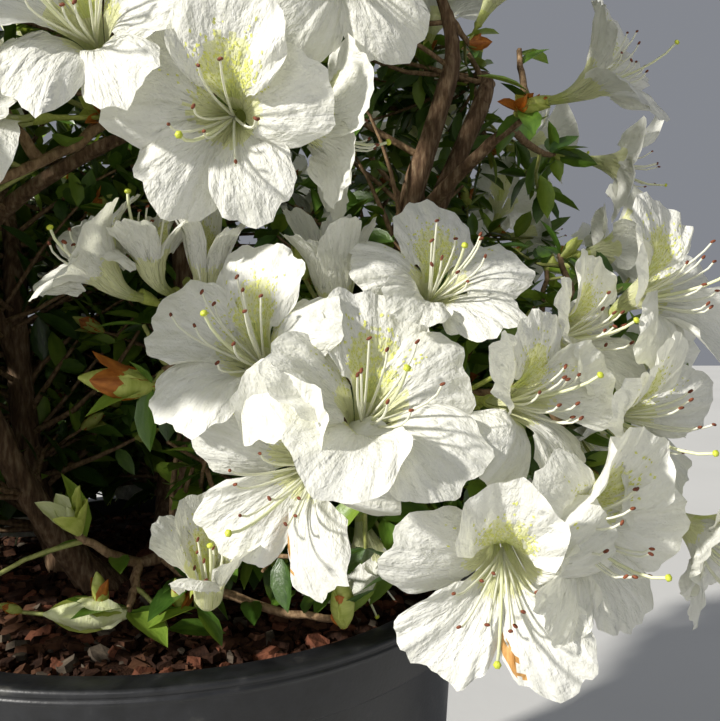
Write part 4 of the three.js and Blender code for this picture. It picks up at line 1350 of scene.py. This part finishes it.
# Kinds of bud: the body's colour, width and height as shares of its length, then the scales' colours, how
# many there are and how far they lean
BUD_KINDS = {
    "green": (GREEN, 0.2, 0.96, (GREEN, GREEN, BROWN), 6, (4, 16)),
    "papery": (GREEN, 0.2, 0.96, (BROWN, BROWN, GREEN), 7, (6, 26)),
    "pale": (PALE, 0.17, 0.96, (PALE, GREEN, PALE), 6, (3, 14)),
    "cup": (PALE, 0.1, 0.6, (GREEN, PALE, GREEN), 5, (18, 44)),
}
NEAR_BUD = (10, 9, 12)
FAR_BUD = (5, 4, 6)
SCALE_GRID = (6, 5)


def add_bud(pieces, base, along, length, kind, seed, detail=NEAR_BUD):
    """A closed bud: a smooth body with scales round its foot, in the form and colours of its kind."""
    rng = np.random.RandomState(seed)
    body, width, height, colours, count, tilt = BUD_KINDS[kind]
    rows, columns, sides = detail
    fat = width * length
    share = np.linspace(0, 1, sides)
    profile = np.sin(math.pi * np.clip(share, 0.03, 0.985) ** 0.8) ** 0.7
    path = base + np.outer(share * length * height, along)
    add_tube(pieces["bud_bodies"], path, profile * fat, sides, body)
    scales = []
    for i in range(count):
        lean = leaning(along, SPIRAL * i + rng.normal(0, 0.2), rng.uniform(*tilt))
        out = unit(lean - along * lean.dot(along) + 1e-6)
        size = length * rng.uniform(0.72, 1.0) * (0.55 if i % 2 and kind != "cup" else 0.95)
        scales.append((base + out * fat * 0.35, lean, unit(np.cross(lean, out)), size,
                       length * rng.uniform(0.34, 0.46)))
    slots = [colours[i % len(colours)] for i in range(count)]
    add_blades(pieces["bud_scales"], scales, rows, columns, slots, cup=0.75, droop=-0.08, widest=0.5,
               ruffle=0.05)


def add_node_scales(piece, truss):
    """Scales left of the flower bud round the foot of a truss."""
    rng = draws_of("node_scales", truss["number"])
    heading = unit(truss["outward"] + unit(truss["node"] - truss["rings"][1]))
    scales, slots = [], []
    for i in range(rng.randint(6, 9)):
        tilt = rng.uniform(16, 52)
        lean = leaning(heading, SPIRAL * i + rng.normal(0, 0.2), tilt)
        out = unit(lean - heading * lean.dot(heading))
        scales.append((truss["foot"] - heading * 1.5 + out * 0.8, lean, unit(np.cross(lean, out)),
                       rng.uniform(9, 17), rng.uniform(6, 9)))
        slots.append(BROWN if rng.rand() < 0.4 else GREEN)
    add_blades(piece, scales, *SCALE_GRID, slots, cup=0.9, droop=-0.1, widest=0.5, ruffle=0.08)


# Blossoms and their parts
near_petals = Piece("petals_front", PETALS)
side_petals = Piece("petals_front_side", PETALS)
far_petals = Piece("petals_crown", PETALS)
FRONT_BLOSSOMS = 13
filament_look = mottled("filament", tones((236, 236, 214), (246, 246, 234)), "UV", 6, relief=0.1,
                        roughness=0.45, through=(0.25, (236, 238, 200)))
style_look = mottled("style", tones((228, 232, 184), (240, 241, 210)), "UV", 6, relief=0.1,
                     roughness=0.4, through=(0.2, (226, 232, 160)))

# Small parts with one look each: piece, look, dark and pale tone, scale of the mottling, relief, roughness
SMALL_PARTS = {
    "anthers": ("anthers", "anther", (74, 36, 24), (140, 78, 50), 900, 0.3, 0.7),
    "stigmas": ("stigmas", "stigma", (170, 184, 44), (206, 212, 84), 900, 0.2, 0.35),
    "flecks": ("petal_flecks", "fleck", (200, 205, 96), (220, 222, 136), 700, 0.1, 0.5),
    "stalks": ("blossom_stalks", "stalk", (138, 150, 66), (176, 182, 98), 500, 0.2, 0.5),
}
parts = {"filaments": Piece("stamen_filaments", [filament_look, style_look])}
for part, (name, look, dark, pale, scale, relief, roughness) in SMALL_PARTS.items():
    parts[part] = Piece(name, [mottled(look, tones(dark, pale), "Object", scale, relief=relief,
                                       roughness=roughness)])
parts["bud_bodies"] = Piece("bud_bodies", SCALE_MATERIALS)
parts["bud_scales"] = Piece("bud_scales", SCALE_MATERIALS)

blossom_number = 0
for truss in trusses:
    near = truss["placed"] is not None
    for place, blossom in enumerate(truss["blossoms"]):
        key = (truss["number"], place)
        if key in TUNED:
            blossom = placed_blossom(blossom["foot"], TUNED[key])
        corolla = Corolla(blossom, blossom_number, LOBE_SHAPES.get(key, DRAWN_SHAPE))
        if not near:
            add_petals(far_petals, corolla, FAR_GRID, blossom_number)
        elif blossom_number < FRONT_BLOSSOMS:
            add_petals(near_petals, corolla, NEAR_GRID, blossom_number, SPENT_LOBES.get(key))
        else:
            add_petals(side_petals, corolla, SIDE_GRID, blossom_number)
        add_flecks(parts["flecks"], corolla, NEAR_FLECKS if near else FAR_FLECKS, blossom_number)
        add_stamens(parts, corolla, near, blossom_number)
        add_stalk(parts["stalks"], corolla)
        blossom_number += 1
    if truss["blossoms"]:
        add_node_scales(parts["bud_scales"], truss)

twigs, outer_leaves, inner_leaves, tips = [], [], [], []
for truss in trusses:
    grow_truss_twigs(truss, twigs, outer_leaves, tips)
    for leaf in truss["leaves"]:
        length = leaf["length"] * LIFE_SHARE
        outer_leaves.append((leaf["base"], leaf["along"], -leaf["across"], length, length * LIFE_WIDTH))
grow_inner_twigs(twigs, inner_leaves, tips)
grow_low_twigs(twigs, inner_leaves)

# Small twigs of the open front: the truss they leave, their tip, leaves as turn, lift and length, and a bud
PLACED_TWIGS = [
    (8, (20, -146, 439), [(-80, 5, 19)], None),
    (8, (23, -147, 414), [(-78, -18, 29), (-10, -74, 27), (-30, 50, 16)], None),
    (12, (30, -130, 314), [], ("green", -20, 75, 16)),
    (12, (38, -134, 316), [(60, -38, 20), (-60, -5, 22)], None),
    (14, (-3, -134, 316), [(-60, 30, 16)], ("papery", -20, 78, 18)),
    (14, (-38, -134, 314), [(-80, 20, 14)], ("papery", -60, 30, 11)),
    (1, (86, -140, 458), [], ("green", -30, 70, 17)),
    (16, (198, -46, 563), [(-88, 24, 28)], None),
    (9, (26, -150, 521), [(-88, 35, 16)], None),
    (9, (-30, -150, 537), [(80, 40, 20)], None),
]

# Kinds of the placed buds by their truss, and how far each stands from its shoot's tip
PLACED_BUDS = {
    8: ("papery", (-4, 0, -7)),
    13: ("cup", (0, 0, 0)),
    14: ("pale", (0, 0, 0)),
    15: ("green", (3, 0, -4)),
}
SCALED_TRUSS = 16
TIP_BUDS = 0.3
GREEN_TIP_BUDS = 0.18


def placed_truss(number):
    return next(truss for truss in plan if truss["number"] == number)


def add_placed_twigs():
    rng = draws_of("placed_twigs")
    for number, tip, leaves, bud in PLACED_TWIGS:
        truss = placed_truss(number)
        end = vec(*tip)
        start = truss["rings"][1] + (truss["node"] - truss["rings"][1]) * 0.8
        twigs.append((bent_path(start, end, rng, steps=6, wander=0.06), SIDE_RADIUS, 1, FRESH))
        for turn, lift, length in leaves:
            along = facing_of(turn, lift)
            across = rolled_across(along, rng.normal(0, 0.3))
            outer_leaves.append((end, along, across, length, length * 0.46))
        if bud:
            kind, turn, lift, length = bud
            add_bud(parts, end, facing_of(turn, lift), length, kind, rng.randint(1000))


def add_tube_scales(truss):
    """The flower bud's scales that still hold the tube of the blossom at the upper right."""
    along = unit(truss["blossoms"][0]["centre"] - truss["foot"])
    add_bud(parts, truss["foot"] - along * 5, along, 23, "papery", SEEDS["tube_scales"])


def add_buds():
    """The placed buds, and small ones at some twigs' tips."""
    for truss in plan:
        if truss["bud"]:
            kind, shift = PLACED_BUDS[truss["number"]]
            turn, lift, length = truss["bud"]
            add_bud(parts, truss["foot"] + vec(*shift), facing_of(turn, lift), length, kind,
                    SEEDS["placed_buds"] + truss["number"])
    for number, (end, along, chance) in enumerate(tips):
        if chance < TIP_BUDS:
            kind = "green" if chance < GREEN_TIP_BUDS else "papery"
            add_bud(parts, end, along, 10 + 40 * chance, kind, SEEDS["tip_buds"] + number, FAR_BUD)


add_placed_twigs()
add_tube_scales(placed_truss(SCALED_TRUSS))
add_buds()
twig_piece = Piece("twigs", [TWIG_BARK, GREEN_TWIG])
for path, radius, thickness, look in twigs:
    add_tube(twig_piece, path, np.linspace(*radius, len(path)) * thickness, TWIG_SIDES, look)


def add_leaves(name, rows, grid):
    piece = Piece(name, LEAF_MATERIALS)
    slots = draws_of(name).choice(len(LEAF_SHARES), len(rows), p=LEAF_SHARES)
    add_blades(piece, rows, *grid, slots, cup=0.34, droop=0.14, widest=0.47)
    return piece


foliage_nodes = [f"foliage_{mass['name']}" for mass in masses]
for piece in (near_petals, side_petals, far_petals, *parts.values()):
    piece.build(foliage_nodes)
add_leaves("leaves_outer", outer_leaves, (5, 5)).build(foliage_nodes)
add_leaves("leaves_inner", inner_leaves, (5, 3)).build(foliage_nodes)
twig_piece.build(foliage_nodes, slot="bark")


# Stems and boughs with the bark's fissures and old leaf scars as relief
BARK_SIDES = 26
STEM_RINGS = 96
BOUGH_RINGS = 46
BELOW_MIX = -0.08
FISSURE = 0.1
FINE_RELIEF = 0.06
LUMP = 0.07
SCAR = 0.24
SCARS = 7


def add_bark(piece, curve, start, end, radius_at, rings, seed):
    t = np.linspace(start, end, rings)
    share = (t - start) / (end - start)
    path = bezier(curve, t)
    points, places = tube(path, radius_at(np.maximum(t, 0)), BARK_SIDES)
    length = lengths_along(path)
    turns = 2 * math.pi * np.arange(BARK_SIDES) / BARK_SIDES
    rng = np.random.RandomState(seed)
    scars = rng.uniform(0.15, 0.95, SCARS)
    scar_turns = rng.uniform(0, 2 * math.pi, SCARS)
    for i, centre in enumerate(path):
        for j, turn in enumerate(turns):
            across, up = math.cos(turn), math.sin(turn)
            groove = 1 - 2.2 * abs(noise.noise(Vector((across * 2.6 + seed, up * 2.6, length[i] * 0.028))))
            fine = noise.noise(Vector((across * 6, up * 6 + seed, length[i] * 0.14)))
            lump = noise.noise(Vector((seed, across + length[i] * 0.03, up)))
            off, aside = (share[i] - scars) * 26, np.sin((turn - scar_turns) / 2) * 3.4
            scar = np.exp(-off ** 2 - aside ** 2).sum()
            scale = 1 - FISSURE * max(groove, 0) ** 2 + FINE_RELIEF * fine + LUMP * lump + SCAR * scar
            points[i, j] = centre + (points[i, j] - centre) * scale
    piece.add(points, grid_faces(rings, BARK_SIDES, closed=True), places)
    piece.add(points, fan_faces((rings - 1) * BARK_SIDES, BARK_SIDES), places)


stem_piece = Piece("stems_bark", [BARK])
for number, stem in enumerate(stems.values()):
    add_bark(stem_piece, stem["curve"], BELOW_MIX, 1, stem["radius_at"], STEM_RINGS,
             SEEDS["stem_bark"] + number)
bough_piece = Piece("boughs_bark", [BARK])
for mass in masses:
    stem = stems[MASSES[mass["name"]][0]]
    foot_radius = BOUGH_RADIUS[0] if mass["on_stem"] else stem["tip_radius"]

    def limb_radius(t, foot_radius=foot_radius):
        in_mass = hub_radius((t - BOUGH_SHARE) / (1 - BOUGH_SHARE))
        radius = np.where(t < BOUGH_SHARE, bough_radius(t / BOUGH_SHARE), in_mass)
        return radius + (foot_radius - BOUGH_RADIUS[0]) * (1 - smooth(t, 0, 0.3))

    add_bark(bough_piece, mass["curve"], 0, 1, limb_radius, BOUGH_RINGS,
             SEEDS["bough_bark"] + mass["number"])
stem_piece.build([f"stem_{name}" for name in stems], slot="bark")
bough_piece.build([f"bough_{mass['name']}" for mass in masses], slot="bark")


# Pot: the same profile with its roundings, turned, and the drain holes cut
POT_SEGMENTS = 192
POT_ROUNDING = 1.1


def wall_inner(z):
    return BASE_RADIUS - POT_WALL + (LIP_INNER - BASE_RADIUS + POT_WALL) * z / POT_HEIGHT


def rounded(profile, size):
    """A profile with each inner corner replaced by a short arc."""
    points = [vec(*p) for p in profile]
    result = [points[0]]
    for before, corner, after in zip(points, points[1:], points[2:]):
        cut = min(size, np.linalg.norm(before - corner) * 0.4, np.linalg.norm(after - corner) * 0.4)
        start, end = corner + unit(before - corner) * cut, corner + unit(after - corner) * cut
        result += list(bezier((start, corner, end), np.linspace(0, 1, 3)))
    return np.array(result + [points[-1]])


def add_turned(piece, profile, segments):
    turn = 2 * math.pi * np.arange(segments) / segments
    points = np.stack([np.outer(profile[:, 0], np.cos(turn)), np.outer(profile[:, 0], np.sin(turn)),
                       np.repeat(profile[:, 1:], segments, axis=1)], axis=-1)
    piece.add_rings(points, segments)


POT_PLASTIC = mottled("pot_plastic", [(0.35, (26, 27, 29)), (0.62, (38, 39, 42)), (0.8, (74, 73, 70))],
                      "Object", 90, roughness=0.4, specular=0.5, rough_range=0.12, relief=0.12,
                      relief_scale=500, detail=8)
under = POT_HEIGHT - POT_WALL
skirt_foot = POT_HEIGHT - SKIRT_DEPTH
profile = [
    (0.4, 0), (BASE_RADIUS - 4, 0), (BASE_RADIUS, 4), (wall_inner(under) + POT_WALL, under - 0.5),
    (RIM_RADIUS - 5, under - 0.5), (RIM_RADIUS - 5.5, skirt_foot), (RIM_RADIUS - 2.6, skirt_foot),
    (RIM_RADIUS - 1.6, POT_HEIGHT - 7), (RIM_RADIUS - 0.4, POT_HEIGHT - 5.5),
    (RIM_RADIUS - 1.6, POT_HEIGHT - 4), (RIM_RADIUS, POT_HEIGHT - 2), (RIM_RADIUS - 1, POT_HEIGHT),
    (LIP_INNER, POT_HEIGHT), (wall_inner(5), 5), (wall_inner(5) - 4, POT_WALL), (0.4, POT_WALL)]
pot_piece = Piece("pot_shell", [POT_PLASTIC])
add_turned(pot_piece, rounded(profile, POT_ROUNDING), POT_SEGMENTS)
pot = pot_piece.build(["pot"], slot="pot_plastic")


def cut_drain_holes(pot):
    """Round holes through the wall just above the pot's floor."""
    mesh = bmesh.new()
    for i in range(DRAIN_HOLES):
        turn = 2 * math.pi * (i + 0.5) / DRAIN_HOLES + DRAIN_TURN
        made = bmesh.ops.create_cone(mesh, cap_ends=True, segments=DRAIN_SIDES, radius1=DRAIN_RADIUS * MM,
                                     radius2=DRAIN_RADIUS * MM, depth=DRAIN_CUT * MM)["verts"]
        for vertex in made:
            x, y, z = vertex.co
            out = (BASE_RADIUS + 1) * MM + z
            vertex.co = (out * math.cos(turn) - y * math.sin(turn), out * math.sin(turn) + y * math.cos(turn),
                         DRAIN_HEIGHT * MM + x)
    cutter_mesh = bpy.data.meshes.new("drain_cutter")
    mesh.to_mesh(cutter_mesh)
    mesh.free()
    cutter = bpy.data.objects.new("drain_cutter", cutter_mesh)
    bpy.context.scene.collection.objects.link(cutter)
    weld = pot.modifiers.new("weld", "WELD")
    weld.merge_threshold = 0.00001
    cut = pot.modifiers.new("holes", "BOOLEAN")
    cut.operation = "DIFFERENCE"
    cut.solver = "EXACT"
    cut.object = cutter
    depsgraph = bpy.context.evaluated_depsgraph_get()
    shaped = bpy.data.meshes.new_from_object(pot.evaluated_get(depsgraph))
    pot.modifiers.clear()
    pot.data = shaped
    bpy.data.objects.remove(cutter)


cut_drain_holes(pot)

# Potting mix: the solid with its own material, and loose bark chips on it
MIX = mottled("potting_mix", [(0.3, (26, 18, 14)), (0.6, (58, 40, 30)), (0.8, (88, 60, 44))], "Object", 120,
              roughness=0.95, specular=0.1, relief=2.0, relief_scale=240)
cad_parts["potting_mix"].data.materials.clear()
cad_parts["potting_mix"].data.materials.append(MIX)
CHIPS = 3000
CHIP_CORNERS = 6
CHIP_SHARES = (0.42, 0.34, 0.14, 0.1)

# Looks of the chips: dark and pale tone, which way the grain runs, roughness and specular
CHIP_LOOKS = {
    "chip_dark": ((34, 23, 18), (64, 44, 34), (1, 0.3, 1), 0.9, 0.15),
    "chip_brown": ((54, 37, 28), (90, 63, 47), (0.3, 1, 1), 0.9, 0.15),
    "chip_red": ((72, 43, 32), (112, 70, 52), (1, 0.3, 1), 0.85, 0.2),
    "chip_grey": ((62, 55, 49), (102, 92, 80), (0.3, 1, 1), 0.9, 0.15),
}
CHIP_MATERIALS = [
    mottled(name, tones(dark, pale), "Object", 260, stretch=grain, roughness=rough, specular=specular,
            relief=0.6, relief_scale=500)
    for name, (dark, pale, grain, rough, specular) in CHIP_LOOKS.items()]


def mix_height(radius):
    edge = wall_inner(MIX_TOP)
    return MIX_TOP - MIX_EDGE_DROP * np.clip((radius - MIX_FLAT_RADIUS) / (edge - MIX_FLAT_RADIUS), 0, 1)


def add_chips(piece):
    """Flat six-cornered chips that lie loose on the mix, many at once."""
    rng = draws_of("chips")
    length = 4 + 13 * rng.rand(CHIPS) ** 2.2
    radius = (wall_inner(MIX_TOP) - 2 - length * 0.55) * np.sqrt(rng.rand(CHIPS))
    turn = rng.uniform(0, 2 * math.pi, CHIPS)
    yaw = rng.uniform(0, 2 * math.pi, CHIPS)
    width = length * rng.uniform(0.4, 0.8, CHIPS)
    thick = np.clip(length * rng.uniform(0.16, 0.4, CHIPS), 1.2, 4)
    height = mix_height(radius) + rng.uniform(0, 3, CHIPS)
    centre = np.stack([radius * np.cos(turn), radius * np.sin(turn), height], axis=-1)
    up = np.stack([rng.normal(0, 0.3, CHIPS), rng.normal(0, 0.3, CHIPS), np.ones(CHIPS)], axis=-1)
    up /= np.linalg.norm(up, axis=1)[:, None]
    run = np.stack([np.cos(yaw), np.sin(yaw), np.zeros(CHIPS)], axis=-1)
    run -= up * (run * up).sum(1)[:, None]
    run /= np.linalg.norm(run, axis=1)[:, None]
    side = np.cross(up, run)
    shape = (CHIPS, CHIP_CORNERS)
    angle = 2 * math.pi * np.arange(CHIP_CORNERS) / CHIP_CORNERS + rng.uniform(-0.3, 0.3, shape)
    reach = rng.uniform(0.7, 1.1, shape)
    flat = (run[:, None] * (np.cos(angle) * reach * length[:, None] / 2)[..., None]
            + side[:, None] * (np.sin(angle) * reach * width[:, None] / 2)[..., None])
    half = thick[:, None] / 2
    top = centre[:, None] + flat * 0.86 + up[:, None] * (half * rng.uniform(0.5, 1.2, shape))[..., None]
    low = centre[:, None] + flat - up[:, None] * half[..., None]
    quads = [(i, CHIP_CORNERS + i, CHIP_CORNERS + (i + 1) % CHIP_CORNERS, (i + 1) % CHIP_CORNERS)
             for i in range(CHIP_CORNERS)]
    quads += [(0, 1, 2, 3), (0, 3, 4, 5)]
    faces = np.array(quads)[None] + (np.arange(CHIPS) * 2 * CHIP_CORNERS)[:, None, None]
    looks = rng.choice(len(CHIP_SHARES), CHIPS, p=CHIP_SHARES)
    piece.add(np.concatenate([top, low], axis=1), faces.reshape(-1, 4), None, np.repeat(looks, len(quads)))


chips = Piece("bark_chips", CHIP_MATERIALS)
add_chips(chips)
chips.build((), slot="potting_bark", smooth_faces=False)


# Stage, light and camera
def add_floor():
    bpy.ops.mesh.primitive_plane_add(size=14, location=(0, 0, -0.0004))
    floor = bpy.context.object
    floor.name = "floor"
    floor.data.materials.append(mottled("pale_floor", tones((198, 198, 196), (206, 206, 204)), "Object", 1.5,
                                        roughness=0.8, specular=0.2, relief=0.2, relief_scale=60))


def add_sun(name, toward, strength, tint, angle):
    light = bpy.data.lights.new(name, "SUN")
    light.energy = strength
    light.color = tint
    light.angle = math.radians(angle)
    sun = bpy.data.objects.new(name, light)
    sun.rotation_euler = Vector(toward).to_track_quat("Z", "Y").to_euler()
    bpy.context.scene.collection.objects.link(sun)


def add_world(strength):
    world = bpy.data.worlds.new("studio")
    world.use_nodes = True
    background = world.node_tree.nodes["Background"]
    background.inputs["Color"].default_value = (0.86, 0.9, 1.0, 1)
    background.inputs["Strength"].default_value = strength
    bpy.context.scene.world = world


def add_camera():
    """The camera stands at the open front's apex."""
    data = bpy.data.cameras.new("camera")
    data.sensor_fit = "HORIZONTAL"
    data.angle = math.radians(VIEW_ACROSS)
    data.clip_start = 0.01
    data.clip_end = 60
    camera = bpy.data.objects.new("camera", data)
    camera.location = GAP_APEX * MM
    camera.rotation_euler = (math.radians(90) - GAP_DIP, 0, 0)
    bpy.context.scene.collection.objects.link(camera)
    bpy.context.scene.camera = camera


add_floor()
add_sun("key", (-0.76, -0.48, 0.44), 5.7, (1.0, 0.965, 0.9), 3)
add_sun("fill", (-0.2, -0.92, 0.33), 0.45, (1.0, 0.985, 0.95), 20)
add_world(0.27)
bpy.context.scene.view_settings.view_transform = "Standard"
add_camera()

bpy.context.view_layer.update()
